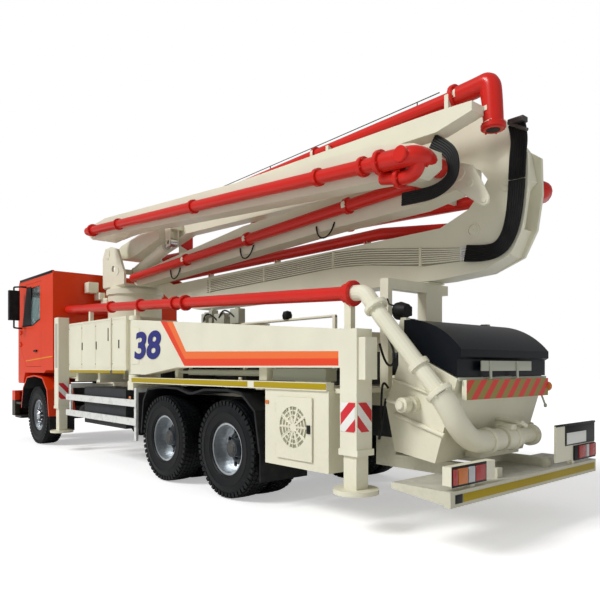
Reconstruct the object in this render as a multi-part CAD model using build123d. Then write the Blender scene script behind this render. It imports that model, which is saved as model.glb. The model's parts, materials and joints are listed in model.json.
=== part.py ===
from build123d import *
import math
import os

os.makedirs("parts", exist_ok=True)

# Axes: X ahead with 0 at the rearmost axle, Y to the left, Z up from the ground, all in mm.
# Everything is shifted along X at export, so that the origin lies at the middle of the length.
FRAME_NOSE = 7290.0
BUMPER_REACH = 300.0
FRONT_X = FRAME_NOSE + BUMPER_REACH
REAR_X = -2878.0
MID_X = (FRONT_X + REAR_X) / 2.0
HALF_WIDTH = 1250.0

# Axles and wheels
FRONT_AXLE_X = 6150.0
MID_AXLE_X = 1350.0
TYRE_RADIUS = 538.0
TYRE_HALF_WIDTH = 156.0
RIM_RADIUS = 286.0
FRONT_TRACK_HALF = 1030.0
OUTER_TWIN_Y = 1084.0
INNER_TWIN_Y = 739.0
KINGPIN_Y = 872.0
AXLE_Z = TYRE_RADIUS
TYRE_SIDES = 32
SHOULDER = 30.0
SHOULDER_DROP = 62.0
RUN_GAP = 0.5
RIM_GAP = 0.3
SPINDLE_R = 40.0
STUB_R = 58.0
KINGPIN_R = 22.0
PIPE_SIDES = 16

# Chassis
RAIL_TOP = 1060.0
RAIL_BOTTOM = 760.0
RAIL_OUT = 470.0
RAIL_IN = 390.0
DECK_Z = 1240.0
FRAME_REAR = -1845.0
TILT_PIVOT = (FRAME_NOSE + 60.0, 1030.0)
TILT_PIN_R = 20.0
ARM_HINGE = (2260.0, HALF_WIDTH - 100.0)
FRONT_LEG_OUT = HALF_WIDTH - 5.0
FRONT_LEG_IN = FRONT_LEG_OUT - 185.0
REAR_LEG_IN = HALF_WIDTH - 195.0
LEG_WALL = 22.0
SLIDE_GAP = 0.8
GUARD_IN = HALF_WIDTH - 35.0
COOLER_SKIN = HALF_WIDTH - 21.0
DELIVERY_Y = HALF_WIDTH - 240.0
TUB_HALF = HALF_WIDTH - 510.0
TUB_WALL = 20.0
LID_LIFT = 10.0
ARM_PIN_R = 37.0
LID_HINGE = (-2030.0, 1850.0)
AGITATOR = (-2160.0, 1110.0)
SHAFT_R = 30.0
TUB_OUT = [(-2600, 1340), (-2050, 1600), (-1850, 1100), (-1950, 680), (-2380, 620)]
TUB_IN = [(-2580, 1360), (-2060, 1606), (-1872, 1100), (-1968, 698), (-2370, 640)]

# Cab
CAB_REAR_X = 5204.0
CAB_FRONT_X = FRAME_NOSE + 150.0
CAB_HALF = HALF_WIDTH - 15.0
CAB_FLOOR_Z = 1120.0
CAB_ROOF_Z = 3120.0
WALL = 45.0
DOOR_HINGE = (6938.0, CAB_HALF + 13.0)
SEAT_Y = CAB_HALF - 585.0
GLASS_HALF = CAB_HALF - 305.0
MIRROR_Y = CAB_HALF + 190.0

# Boom lanes, as the side planes of each section
MAIN_LO, MAIN_HI = -330.0, -50.0
THIRD_LO, THIRD_HI = 0.0, 240.0
FOURTH_LO, FOURTH_HI = 640.0, 860.0
FIFTH_LO, FIFTH_HI = 430.0, 610.0
PIPE_R = 66.5
BEND_R = 76.0
PIPE1_Y = -500.0
PIPE2_Y = -680.0
PIPE2_TOP_Y = -190.0
PIPE3_Y = 345.0
PIPE4_Y = 960.0
PIPE5_Y = 345.0

# Boom hinges as X and Z
SLEW_X = 4560.0
RING_TOP = 2790.0
ROOT_PIN_R = 60.0
FOOT_PIN_R = 45.0
HUB_R = 80.0
HUB_BORE = 70.0
FOLD_PIN_R = 72.0
ROOT = (4780.0, 3430.0)
J12 = (-2600.0, 3110.0)
J23 = (4000.0, 2935.0)
J34 = (-2250.0, 3200.0)
J45 = (4400.0, 3700.0)
LIFT_FOOT = (4400.0, 3100.0)
LIFT_EYE = (3150.0, 3440.0)
LIFT_Y0, LIFT_Y1 = 0.0, 120.0
LIFT_PIN_R = 37.0
LIFT_ROD_R = 55.0
BARREL_R = 95.0


def block(x0, x1, y0, y1, z0, z1):
    """Box between two corners."""
    size = (abs(x1 - x0), abs(y1 - y0), abs(z1 - z0))
    middle = ((x0 + x1) / 2, (y0 + y1) / 2, (z0 + z1) / 2)
    return Pos(*middle) * Box(*size)


def rod(start, end, radius):
    """Round bar between two points."""
    a, b = Vector(*start), Vector(*end)
    plane = Plane(origin=a, z_dir=(b - a).normalized())
    return extrude(plane * Circle(radius), (b - a).length)


def tube(start, end, radius, bore):
    """Round tube between two points."""
    a, b = Vector(*start), Vector(*end)
    plane = Plane(origin=a, z_dir=(b - a).normalized())
    return extrude(plane * (Circle(radius) - Circle(bore)), (b - a).length)


def slab_y(points, y0, y1):
    """Plate or box whose outline is given in X and Z, between two Y planes."""
    face = make_face(Polyline(*[(x, 0, z) for x, z in points], close=True))
    solid = extrude(face, y1 - y0, dir=(0, 1, 0))
    return Pos(0, y0, 0) * solid


def slab_x(points, x0, x1):
    """Plate or box whose outline is given in Y and Z, between two X planes."""
    face = make_face(Polyline(*[(0, y, z) for y, z in points], close=True))
    solid = extrude(face, x1 - x0, dir=(1, 0, 0))
    return Pos(x0, 0, 0) * solid


def slab_z(points, z0, z1):
    """Plate or box whose outline is given in X and Y, between two Z planes."""
    face = make_face(Polyline(*[(x, y, 0) for x, y in points], close=True))
    solid = extrude(face, z1 - z0, dir=(0, 0, 1))
    return Pos(0, 0, z0) * solid


def disc_y(x, z, radius, y0, y1):
    """Round boss with its axis along Y."""
    return rod((x, y0, z), (x, y1, z), radius)


def piping(points, radius, bend):
    """Solid round line through the points, with each corner rounded."""
    path = FilletPolyline(*points, radius=bend) if len(points) > 2 else Line(*points)
    start = Vector(*points[0])
    way = (Vector(*points[1]) - start).normalized()
    section = Plane(origin=start, z_dir=way) * RegularPolygon(radius, PIPE_SIDES)
    return sweep(section, path=path)


def between(a, b, x):
    """Height of the straight line from a to b, both X and Z, at a place along X."""
    return a[1] + (b[1] - a[1]) * (x - a[0]) / (b[0] - a[0])


def wheel_prism(radius, y0, y1):
    """Many-sided drum about the Y axis, standing on a flat, measured across its flats."""
    corner = radius / math.cos(math.pi / TYRE_SIDES)
    face = Plane.XZ * Rot(0, 0, 180.0 / TYRE_SIDES) * RegularPolygon(corner, TYRE_SIDES)
    return Pos(0, y0, 0) * extrude(face, y1 - y0, dir=(0, 1, 0))


def collar(points, index, along, radius, length):
    """Clamp ring on a line, a share of the way along the stretch after a point."""
    a, b = Vector(*points[index]), Vector(*points[index + 1])
    way = (b - a).normalized()
    start = a + (b - a) * along - way * (length / 2)
    return extrude(Plane(origin=start, z_dir=way) * RegularPolygon(radius, PIPE_SIDES), length)


def both_sides(shape):
    """The shape and its mirror image on the other side."""
    return shape + mirror(shape, about=Plane.XZ)


def joined(items):
    """One shape made of all the items."""
    items = list(items)
    whole = items[0]
    for item in items[1:]:
        whole = whole + item
    return whole


def save(name, shape):
    """Write one node, moved so that the origin is at the middle of the length."""
    moved = Pos(-MID_X, 0, 0) * shape
    solids = moved.solids()
    export_step(solids[0] if len(solids) == 1 else Compound(children=list(solids)), f"parts/{name}.step")


def tyre_shape():
    """Tyre about the Y axis: tread, sloped shoulders and side walls."""
    half = TYRE_HALF_WIDTH
    body = wheel_prism(TYRE_RADIUS, -half, half)
    for face in (body.faces().sort_by(Axis.Y)[0], body.faces().sort_by(Axis.Y)[-1]):
        body = chamfer(face.edges(), SHOULDER_DROP, SHOULDER, reference=face)
    return body - wheel_prism(RIM_RADIUS, -half - 10, half + 10)


def rim_shape(disc_at, hub_out, spindle):
    """Rim with its outside toward +Y: barrel, drop centre, pierced disc and hub."""
    edge = RIM_RADIUS - RIM_GAP
    barrel = wheel_prism(edge, -118, 118) - wheel_prism(edge - 22, -120, 120)
    disc = wheel_prism(edge - 20, disc_at - 10, disc_at + 10)
    for k in range(8):
        turn = math.radians(45 * k + 22.5)
        hole = Plane.XZ * Pos(205 * math.cos(turn), 205 * math.sin(turn), 0) * RegularPolygon(32, 8)
        disc = disc - Pos(0, disc_at - 30, 0) * extrude(hole, 60, dir=(0, 1, 0))
    hub = rod((0, disc_at - 10, 0), (0, hub_out, 0), 95) + rod((0, disc_at, 0), (0, disc_at + 22, 0), 150)
    return barrel + disc + hub - rod((0, disc_at - 40, 0), (0, spindle, 0), SPINDLE_R + RUN_GAP)


def wheels():
    """Six wheel bodies: two single at the front and four twins."""
    tyre = tyre_shape()
    front_rim = rim_shape(58, 128, 84)
    outer_rim = rim_shape(-62, 60, -62)
    inner_rim = wheel_prism(RIM_RADIUS - RIM_GAP, -118, 118)
    for side, name in ((1, "left"), (-1, "right")):
        flip = Rot(0, 0, 0) if side > 0 else Rot(0, 0, 180)
        place = Pos(FRONT_AXLE_X, side * FRONT_TRACK_HALF, AXLE_Z)
        save(f"tyre_front_{name}", place * tyre)
        save(f"rim_front_{name}", place * flip * front_rim)
        for x, axle in ((MID_AXLE_X, "mid"), (0.0, "rear")):
            outer = Pos(x, side * OUTER_TWIN_Y, AXLE_Z)
            inner = Pos(x, side * INNER_TWIN_Y, AXLE_Z)
            save(f"tyres_{axle}_{name}", outer * tyre + inner * tyre)
            drum = rod((x, side * (INNER_TWIN_Y + 100), AXLE_Z), (x, side * (OUTER_TWIN_Y - 62), AXLE_Z), 150)
            bore = rod((x, side * 600, AXLE_Z), (x, side * 668, AXLE_Z), STUB_R + RUN_GAP)
            save(f"rims_{axle}_{name}", outer * flip * outer_rim + drum + (inner * inner_rim - bore))


def running_gear():
    """Axles, springs, steering knuckles and the drive line."""
    gear = []
    for x in (0.0, MID_AXLE_X):
        gear.append(disc_y(x, AXLE_Z, 95, -590, 590))
        gear.append(disc_y(x, AXLE_Z, STUB_R, -660, 660))
        gear.append(Pos(x, 0, AXLE_Z) * Rot(90, 0, 0) * Cylinder(205, 260))
        gear.append(rod((x + 120, 0, AXLE_Z), (x + 330, 0, AXLE_Z + 25), 85))
    gear.append(rod((325, 0, AXLE_Z + 30), (MID_AXLE_X - 200, 0, AXLE_Z + 30), 48))
    gear.append(rod((MID_AXLE_X + 325, 0, AXLE_Z + 30), (4715, 0, 800), 55))
    leaf = [(-420, 640), (-420, 690), (400, 800), (950, 800)]
    leaf = leaf + [(1770, 690), (1770, 640), (950, 740), (400, 740)]
    gear.append(both_sides(slab_y(leaf, RAIL_OUT + 5, 555)))
    gear.append(both_sides(block(560, 790, RAIL_OUT, 560, 760, 1000)))
    front_leaf = [(5450, RAIL_BOTTOM), (5450, 720), (5950, 625)]
    front_leaf = front_leaf + [(6350, 625), (6850, 720), (6850, RAIL_BOTTOM)]
    front_leaf = front_leaf + [(6350, 685), (5950, 685)]
    gear.append(both_sides(slab_y(front_leaf, 395, RAIL_OUT)))
    gear.append(block(FRONT_AXLE_X - 55, FRONT_AXLE_X + 55, -(KINGPIN_Y - 45), KINGPIN_Y - 45, 440, 540))
    gear.append(both_sides(block(FRONT_AXLE_X - 90, FRONT_AXLE_X + 90, 395, RAIL_OUT, 535, 630)))
    whole = joined(gear)
    for side, name in ((1, "left"), (-1, "right")):
        pin = side * KINGPIN_Y
        whole = whole + rod((FRONT_AXLE_X, pin, 445), (FRONT_AXLE_X, pin, 535), 55)
        whole = whole - rod((FRONT_AXLE_X, pin, 400), (FRONT_AXLE_X, pin, 600), KINGPIN_R + RUN_GAP)
        plates = [(380, 435), (545, 600)]
        knuckle = rod((FRONT_AXLE_X, pin, 380), (FRONT_AXLE_X, pin, 600), KINGPIN_R)
        for z0, z1 in plates:
            knuckle = knuckle + block(FRONT_AXLE_X - 50, FRONT_AXLE_X + 50, side * 825, side * 960, z0, z1)
        knuckle = knuckle + block(FRONT_AXLE_X - 60, FRONT_AXLE_X + 60, side * 935, side * 965, 380, 690)
        knuckle = knuckle + rod((FRONT_AXLE_X, side * 960, AXLE_Z), (FRONT_AXLE_X, side * 1060, AXLE_Z), 190)
        spindle = (FRONT_AXLE_X, side * (FRONT_TRACK_HALF + 80), AXLE_Z)
        save(f"knuckle_{name}", knuckle + rod((FRONT_AXLE_X, side * 1050, AXLE_Z), spindle, SPINDLE_R))
    save("axles", whole)


def chassis():
    """Ladder frame, engine, tanks, guards and wings."""
    rails = both_sides(block(FRAME_REAR, FRAME_NOSE, RAIL_IN, RAIL_OUT, RAIL_BOTTOM, RAIL_TOP))
    for x in (FRAME_REAR + 50, -900, 675, 2400, 3900, 4600, FRAME_NOSE - 50):
        rails = rails + block(x - 50, x + 50, -RAIL_IN, RAIL_IN, RAIL_BOTTOM + 110, RAIL_TOP - 40)
    px, pz = TILT_PIVOT
    ears = block(FRAME_NOSE, px, 395, 465, pz - 30, pz + 28) + disc_y(px, pz, 34, 395, 465)
    ears = ears - disc_y(px, pz, TILT_PIN_R + RUN_GAP, 380, 480)
    posts = block(5260, 5340, 395, 465, RAIL_TOP, CAB_FLOOR_Z + 254)
    save("frame_rails", rails + both_sides(ears + posts))
    engine = block(5500, 7050, -370, 370, 620, 1095) + block(4720, 5500, -200, 200, 640, 960)
    save("engine", engine + block(6000, 6200, -RAIL_IN, RAIL_IN, 800, 960))
    back, bend = FRAME_NOSE + 10, FRONT_X - 110
    side, nose = HALF_WIDTH - 10, HALF_WIDTH - 250
    edge = [(back, side), (bend, side), (FRONT_X, nose)]
    bumper = slab_z(edge + [(x, -y) for x, y in reversed(edge)], 460, 960)
    bumper = bumper - block(back - 100, FRONT_X - 90, -(side - 90), side - 90, 480, 940)
    lamp = block(FRONT_X - 20, FRONT_X + 10, nose - 300, nose - 30, 620, 790)
    glass = block(FRONT_X - 25, FRONT_X - 8, nose - 290, nose - 40, 630, 780)
    bumper = bumper - block(FRONT_X - 16, FRONT_X + 10, -480, 480, 560, 860)
    for z in (600, 670, 740, 810):
        bumper = bumper + block(FRONT_X - 30, FRONT_X - 4, -485, 485, z - 12, z + 12)
    bumper = bumper - both_sides(lamp) + both_sides(glass)
    step_in, step_out = HALF_WIDTH - 290, HALF_WIDTH - 25
    for z in (430, 700):
        bumper = bumper + both_sides(block(FRAME_NOSE - 330, back + 30, step_in, step_out, z, z + 40))
    bumper = bumper + both_sides(block(FRAME_NOSE - 330, back + 30, step_in, step_in + 15, 430, 960))
    bumper = bumper + both_sides(block(back, back + 30, step_in, step_out, 430, 480))
    save("front_bumper", bumper + both_sides(block(FRAME_NOSE, FRONT_X - 80, RAIL_IN, RAIL_OUT, 800, 930)))
    tank_in, tank_out = RAIL_OUT + 150, HALF_WIDTH - 70
    tanks = block(2500, 3950, tank_in, tank_out, 560, 1120)
    tanks = tanks + mirror(block(3050, 3950, tank_in, tank_out, 560, 1120), about=Plane.XZ)
    straps = [block(x, x + 80, RAIL_OUT, tank_in + 20, 800, 1000) for x in (3150, 3750)]
    air = [rod((4120, y, 700), (4560, y, 700), 95) for y in (tank_in + 80, tank_in + 310)]
    air = air + [block(4300, 4360, RAIL_OUT, tank_in + 380, 780, 850)]
    save("tanks", tanks + both_sides(joined(straps + air)))
    guard = block(2060, 4560, GUARD_IN, HALF_WIDTH, 895, 990)
    guard = guard + block(2060, 4560, GUARD_IN, HALF_WIDTH, 640, 735)
    for x, low in ((2120, 430), (4440, 640)):
        guard = guard + block(x, x + 60, GUARD_IN - 35, GUARD_IN, low, 1150)
        guard = guard + block(x, x + 60, RAIL_OUT + 10, GUARD_IN, 1090, 1150)
    save("side_guards", both_sides(guard))
    wing = [
        (1920, 560), (1860, 1000), (1740, 1155), (1400, 1195), (1000, 1190), (740, 1140),
        (640, 1140), (390, 1190), (-60, 1195), (-330, 1165), (-560, 990), (-640, 560),
        (-614, 560), (-536, 975), (-315, 1140), (-55, 1170), (390, 1165), (635, 1114),
        (745, 1114), (1000, 1165), (1400, 1170), (1725, 1133), (1835, 985), (1894, 560),
    ]
    wings = slab_y(wing, 590, HALF_WIDTH)
    for x in (0, MID_AXLE_X):
        wings = wings + block(x - 25, x + 25, 480, 900, 1185, DECK_Z - 20)
    arch = [
        (6890, 640), (6790, 1020), (6560, 1225), (6150, 1262), (5740, 1225), (5510, 1020), (5410, 560),
        (5380, 560), (5480, 1035), (5725, 1250), (6150, 1287), (6575, 1250), (6815, 1035), (6915, 640),
    ]
    wings = wings + slab_y(arch, FRONT_TRACK_HALF - 270, HALF_WIDTH - 10)
    wings = wings + block(-640, -625, 600, HALF_WIDTH - 5, 263, 580)
    wings = wings + block(5384, 5400, FRONT_TRACK_HALF - 250, HALF_WIDTH - 15, 290, 580)
    for x in (5420, 6830):
        wings = wings + block(x, x + 35, RAIL_OUT, 780, 800, 860)
    save("wings", both_sides(wings))


def subframe():
    """Superstructure frame, pedestal, cupboards and fixed pump parts."""
    body = both_sides(block(FRAME_REAR, 5120, 380, 480, RAIL_TOP, DECK_Z))
    for x in (-1665, -500, 1000, 2440, 3500, 4350):
        body = body + block(x - 60, x + 60, -(HALF_WIDTH - 100), HALF_WIDTH - 100, DECK_Z - 40, DECK_Z)
    body = body + both_sides(block(-1590, 2190, HALF_WIDTH - 100, HALF_WIDTH, DECK_Z - 20, 1295))
    body = body + both_sides(block(-1590, 2190, 480, HALF_WIDTH - 100, DECK_Z - 20, DECK_Z))
    body = body + slab_x([(-520, DECK_Z), (520, DECK_Z), (480, 2250), (-480, 2250)], 3900, 4697)
    body = body + block(4697, 5020, -320, 320, DECK_Z + 300, 2250)
    body = body + rod((SLEW_X, 0, 2250), (SLEW_X, 0, 2700), 470)
    body = body + rod((SLEW_X, 0, 2700), (SLEW_X, 0, RING_TOP), 500)
    body = body + block(4950, 5035, -110, 110, 2330, 2560)
    end = FRONT_LEG_IN - 50
    sleeve = block(4697, 5122, -end, end, DECK_Z, DECK_Z + 300)
    for x in (4715, 4915):
        sleeve = sleeve - block(x, x + 190, -end - 90, end + 90, DECK_Z + 18, DECK_Z + 282)
    save("beam_sleeves", sleeve)
    hx, hy = ARM_HINGE
    hinge = block(hx - 70, 2351, 480, hy + 75, DECK_Z - 120, DECK_Z)
    hinge = hinge + block(hx + 81, 2351, hy - 60, hy + 60, DECK_Z, 2143)
    for z0, z1 in ((DECK_Z, 1330), (2085, 2143)):
        hinge = hinge + block(hx + 45, 2351, hy - 60, hy + 60, z0, z1) + rod((hx, hy, z0), (hx, hy, z1), 75)
    hinge = hinge - rod((hx, hy, DECK_Z), (hx, hy, 2200), ARM_PIN_R + RUN_GAP)
    save("subframe", body + both_sides(hinge))
    left = block(2351, 4426, HALF_WIDTH - 550, HALF_WIDTH, 1386, 2143)
    left = left - block(2798, 2831, HALF_WIDTH - 60, HALF_WIDTH + 5, 1380, 2150)
    for x0, x1 in ((2375, 2780), (2850, 3360), (3380, 3885), (3905, 4405)):
        recess = block(x0, x1, HALF_WIDTH - 6, HALF_WIDTH + 5, 1415, 2115)
        left = left - (recess - block(x0 + 8, x1 - 8, HALF_WIDTH - 20, HALF_WIDTH + 20, 1423, 2107))
    for x in (2440, 3500, 4350):
        left = left + block(x - 40, x + 40, HALF_WIDTH - 490, HALF_WIDTH - 110, DECK_Z, 1386)
    case = block(-1600, -700, -(HALF_WIDTH - 15), -(HALF_WIDTH - 490), 480, DECK_Z - 20)
    save("lockers", both_sides(left) + case)
    pump = joined([rod((-1300, y, 1470), (1100, y, 1470), 125) for y in (-180, 180)])
    drive = joined([rod((1500, y, 1470), (3100, y, 1470), 80) for y in (-180, 180)])
    feet = joined([block(x, x + 80, -420, 420, DECK_Z, 1400) for x in (-900, 700, 2000, 2800)])
    save("pump", pump + drive + block(1100, 1500, -340, 340, 1300, 1640) + feet)
    skin = COOLER_SKIN
    cooler = block(-1600, -700, skin - 469, skin, 480, DECK_Z - 20)
    cooler = cooler - block(-1580, -720, skin - 449, skin - 20, 500, 1200)
    cooler = cooler - disc_y(-1140, 867, 200, skin - 39, skin + 71)
    cooler = cooler + block(-1580, -720, skin - 329, skin - 269, 500, 1200)
    for z in (620, 1020):
        for low in (z - 20, z + 52):
            cooler = cooler + block(-887, -875, skin - 4, skin + 18, low, low + 18)
        cooler = cooler + rod((-881, skin + 12, z - 20), (-881, skin + 12, z + 70), 5)
    save("cooler_box", cooler)
    door = block(-1400, -893, skin + 7, HALF_WIDTH, 560, 1150) - disc_y(-1140, 867, 195, skin - 29, skin + 71)
    for k in range(5):
        door = door + (Pos(-1140, skin + 14, 867) * Rot(0, 36 * k, 0) * Box(392, 8, 22))
    for size in (165, 120, 80):
        door = door + tube((-1140, skin + 11, 867), (-1140, skin + 17, 867), size, size - 14)
    door = door + disc_y(-1140, 867, 45, skin + 10, skin + 18)
    for z in (620, 1020):
        door = door + rod((-881, skin + 12, z), (-881, skin + 12, z + 50), 9)
        door = door + block(-900, -881, skin + 9, skin + 19, z, z + 50)
        door = door - rod((-881, skin + 12, z - 5), (-881, skin + 12, z + 55), 5 + RUN_GAP)
    save("cooler_door", door)


def front_outriggers():
    """Beams that slide out behind the cab, each with a leg and its jack."""
    for side, name, x0 in ((1, "left", 4915.8), (-1, "right", 4715.8)):
        x1 = x0 + 188.4
        near, far = side * FRONT_LEG_IN, side * FRONT_LEG_OUT
        wall = side * LEG_WALL
        slack = side * SLIDE_GAP
        beam = block(x0, x1, -side * 900, near, DECK_Z + 18.8, DECK_Z + 281.2)
        leg = block(x0, x1, near, far, 720, 2284)
        leg = leg + block(x0 - 12, x1 + 12, near - side * 12, far + side * 5, 720, 770)
        leg = leg - block(x0 + LEG_WALL, x1 - LEG_WALL, near + wall, far - wall, 700, 2100)
        save(f"front_beam_{name}", beam + leg)
        edge = LEG_WALL + SLIDE_GAP
        inner = block(x0 + edge, x1 - edge, near + wall + slack, far - wall - slack, 345, 1500)
        foot = rod((x0 + 90, (near + far) / 2, 310), (x0 + 90, (near + far) / 2, 345), 190)
        save(f"front_jack_{name}", inner + foot)


def rear_outriggers():
    """Swinging arms with their legs and jacks."""
    hx, hy = ARM_HINGE
    outline = [(2180, 1340), (1800, 1335), (1000, 1430), (-1760, 1430), (-1760, 1770), (2180, 2080)]
    for side, name in ((1, "left"), (-1, "right")):
        arm = block(hx - 90, hx, side * (hy - 40), side * (hy + 40), 1340, 2075)
        arm = arm + rod((hx, side * hy, 1335), (hx, side * hy, 2080), 72)
        arm = arm + rod((hx, side * hy, DECK_Z + 5), (hx, side * hy, 2140), ARM_PIN_R)
        near, far = side * REAR_LEG_IN, side * HALF_WIDTH
        wall = side * LEG_WALL
        slack = side * SLIDE_GAP
        low, high = sorted((side * (REAR_LEG_IN + 5), far))
        arm = arm + slab_y(outline, low, high)
        leg = block(-1955, -1760, near, far, 675, 1765)
        leg = leg + block(-1969, -1746, near - side * 12, far + side * 5, 675, 730)
        leg = leg - block(-1955 + LEG_WALL, -1760 - LEG_WALL, near + wall, far - wall, 600, 1640)
        box = block(-2035, -1955, near + side * 25, far - side * 20, 1330, 1690)
        save(f"rear_arm_{name}", arm + leg + box)
        edge = LEG_WALL + SLIDE_GAP
        inner = block(-1955 + edge, -1760 - edge, near + wall + slack, far - wall - slack, 385, 1300)
        middle = (near + far) / 2
        save(f"rear_jack_{name}", inner + rod((-1857, middle, 345), (-1857, middle, 385), 200))


def rear_end():
    """Hopper, lid, agitator, rest, platform and the lights' brackets."""
    ax, az = AGITATOR
    lx, lz = LID_HINGE
    inside, lips = TUB_HALF - TUB_WALL, TUB_HALF - 25
    tub = slab_y(TUB_OUT, -TUB_HALF, TUB_HALF)
    tub = tub + both_sides(block(-1960, FRAME_REAR, 380, RAIL_OUT, RAIL_BOTTOM, DECK_Z))
    tub = tub + both_sides(block(-2615, -2500, 400, 440, 1200, 1260))
    tub = tub - slab_y(TUB_IN, -inside, inside)
    mouth = [(-2700, 1320), (-2600, 1345), (-2045, 1607), (-1900, 1800), (-2700, 1800)]
    tub = tub - slab_y(mouth, -lips, lips)
    tub = tub + both_sides(disc_y(ax, az, 75, TUB_HALF, TUB_HALF + 60))
    cheek = [(-2055, 1500), (-2055, 1830), (-2040, 1880), (-1985, 1880), (-1960, 1800), (-1960, 1300)]
    ears = slab_y(cheek, TUB_HALF - 100, TUB_HALF - 40) + disc_y(lx, lz, 12, TUB_HALF - 185, TUB_HALF - 40)
    tub = tub + both_sides(ears)
    save("hopper_tub", tub - disc_y(ax, az, SHAFT_R + RUN_GAP, -(TUB_HALF + 160), TUB_HALF + 160))
    shaft = disc_y(ax, az, SHAFT_R, -(TUB_HALF + 90), TUB_HALF + 90)
    for k in range(4):
        turn = math.radians(90 * k)
        y = (TUB_HALF - 240) * (k / 1.5 - 1)
        tip = (ax + 210 * math.cos(turn), y, az + 210 * math.sin(turn))
        shaft = shaft + rod((ax, y, az), tip, 18)
        shaft = shaft + Pos(*tip) * Rot(0, -90 * k, 0) * Box(20, 150, 90)
    save("agitator", shaft)
    rim = [(-2604, 1345 + LID_LIFT), (-2062, 1599 + LID_LIFT)]
    crown = ThreePointArc((-2062, 0, 1852), (-2370, 0, 1792), (-2640, 0, 1585))
    skirt = Polyline((-2640, 0, 1585), (-2640, 0, 1520), (-2604, 0, 1500), *[(x, 0, z) for x, z in rim])
    front = Line((rim[1][0], 0, rim[1][1]), (-2062, 0, 1852))
    cover = Face(Wire([crown.edge(), *skirt.edges(), front.edge()]))
    lid = Pos(0, -TUB_HALF - 10, 0) * extrude(cover, 2 * TUB_HALF + 20, dir=(0, 1, 0))
    vault = ThreePointArc((-2040, 0, 1826), (-2360, 0, 1768), (-2612, 0, 1572))
    floor = Polyline((-2612, 0, 1572), (-2580, 0, 1500), (-2580, 0, 1300), (-2040, 0, 1300), (-2040, 0, 1826))
    hollow = Face(Wire([vault.edge(), *floor.edges()]))
    lid = lid - Pos(0, -TUB_HALF + 15, 0) * extrude(hollow, 2 * TUB_HALF - 30, dir=(0, 1, 0))
    low, high = TUB_HALF - 180, TUB_HALF - 110
    knuckle = block(-2075, lx, low, high, lz - 14, lz + 14) + disc_y(lx, lz, 24, low, high)
    save("hopper_lid", lid + both_sides(knuckle) - disc_y(lx, lz, 12 + RUN_GAP, -(high + 10), high + 10))
    rest = block(-1700, -1600, 470, 530, DECK_Z, 2190) + block(-1710, -1600, -330, -60, DECK_Z, 2190)
    rest = rest + block(-1700, -1600, -450, 530, 2190, 2290)
    save("boom_rest", rest + block(-1740, -1560, -330, -50, 2290, 2300))
    deck = block(-2870, -2330, -HALF_WIDTH, HALF_WIDTH, 480, 520)
    beams = block(-2800, -1500, RAIL_IN, RAIL_OUT, 480, 600)
    beams = beams + block(-1740, -1500, RAIL_IN, RAIL_OUT, 600, RAIL_BOTTOM)
    bumper = block(REAR_X, -2820, -HALF_WIDTH, HALF_WIDTH, 400, 520)
    skirt = [(-2870, 480), (-2870, 420), (-2780, 420), (-2330, 470), (-2330, 480)]
    skirts = slab_y(skirt, HALF_WIDTH - 8, HALF_WIDTH)
    board = block(-2660, -2615, -(TUB_HALF - 40), TUB_HALF - 40, 1165, 1330)
    save("rear_platform", deck + both_sides(beams + skirts) + bumper + board)
    wide = HALF_WIDTH - 10
    lamps = block(REAR_X, -2800, wide - 600, wide, 560, 700)
    lamps = lamps + block(-2860, -2820, wide - 340, wide - 280, 520, 560)
    for y in (wide - 200, wide - 400):
        lamps = lamps - block(REAR_X - 5, REAR_X + 8, y - 4, y + 4, 550, 710)
    plate = block(REAR_X + 10, -2850, -wide, -(wide - 820), 560, 900)
    plate = plate + block(REAR_X, REAR_X + 12, -(wide - 20), -(wide - 420), 590, 680)
    save("rear_lamps", lamps + plate + block(-2868, -2820, -(wide - 440), -(wide - 500), 520, 600))


def delivery_line():
    """Fixed concrete line from the hopper to the pedestal."""
    side_a, side_b = (-1760, 2100), (5110, 2445)
    join_z = between(side_a, side_b, -1700)
    low = [
        (-2620, -420, 800), (-2620, TUB_HALF - 220, 800), (-2580, DELIVERY_Y - 150, 1150),
        (-2020, DELIVERY_Y - 10, 1870), (-1840, DELIVERY_Y, between(side_a, side_b, -1840)),
        (-1700, DELIVERY_Y, join_z),
    ]
    outlet = piping(low, 72, 110) + rod((-2620, -450, 800), (-2620, -400, 800), 100)
    outlet = outlet + (rod((-2620, -150, 800), (-2400, -150, 800), 68) - slab_y(TUB_OUT, -TUB_HALF, TUB_HALF))
    for index, along in ((0, 0.3), (0, 0.62), (2, 0.12), (2, 0.42)):
        outlet = outlet + collar(low, index, along, 96, 45)
    line = [(-1700, DELIVERY_Y, join_z), (5110, DELIVERY_Y, 2445), (5110, 0, 2445), (5035, 0, 2445)]
    pipe = piping(line, PIPE_R, 74) + rod((5080, 0, 2445), (5035, 0, 2445), 66)
    for along in (0.01, 0.46, 0.74):
        pipe = pipe + collar(line, 0, along, 92, 50)
    near, far = DELIVERY_Y - 30, DELIVERY_Y + 30
    posts = [block(x - 30, x + 30, near, far, 2143, between(side_a, side_b, x)) for x in (2500, 4100)]
    strut = block(-1690, -1610, near, far, DECK_Z, between(side_a, side_b, -1650))
    save("delivery_pipe", outlet + pipe + joined(posts) + strut)


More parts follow.
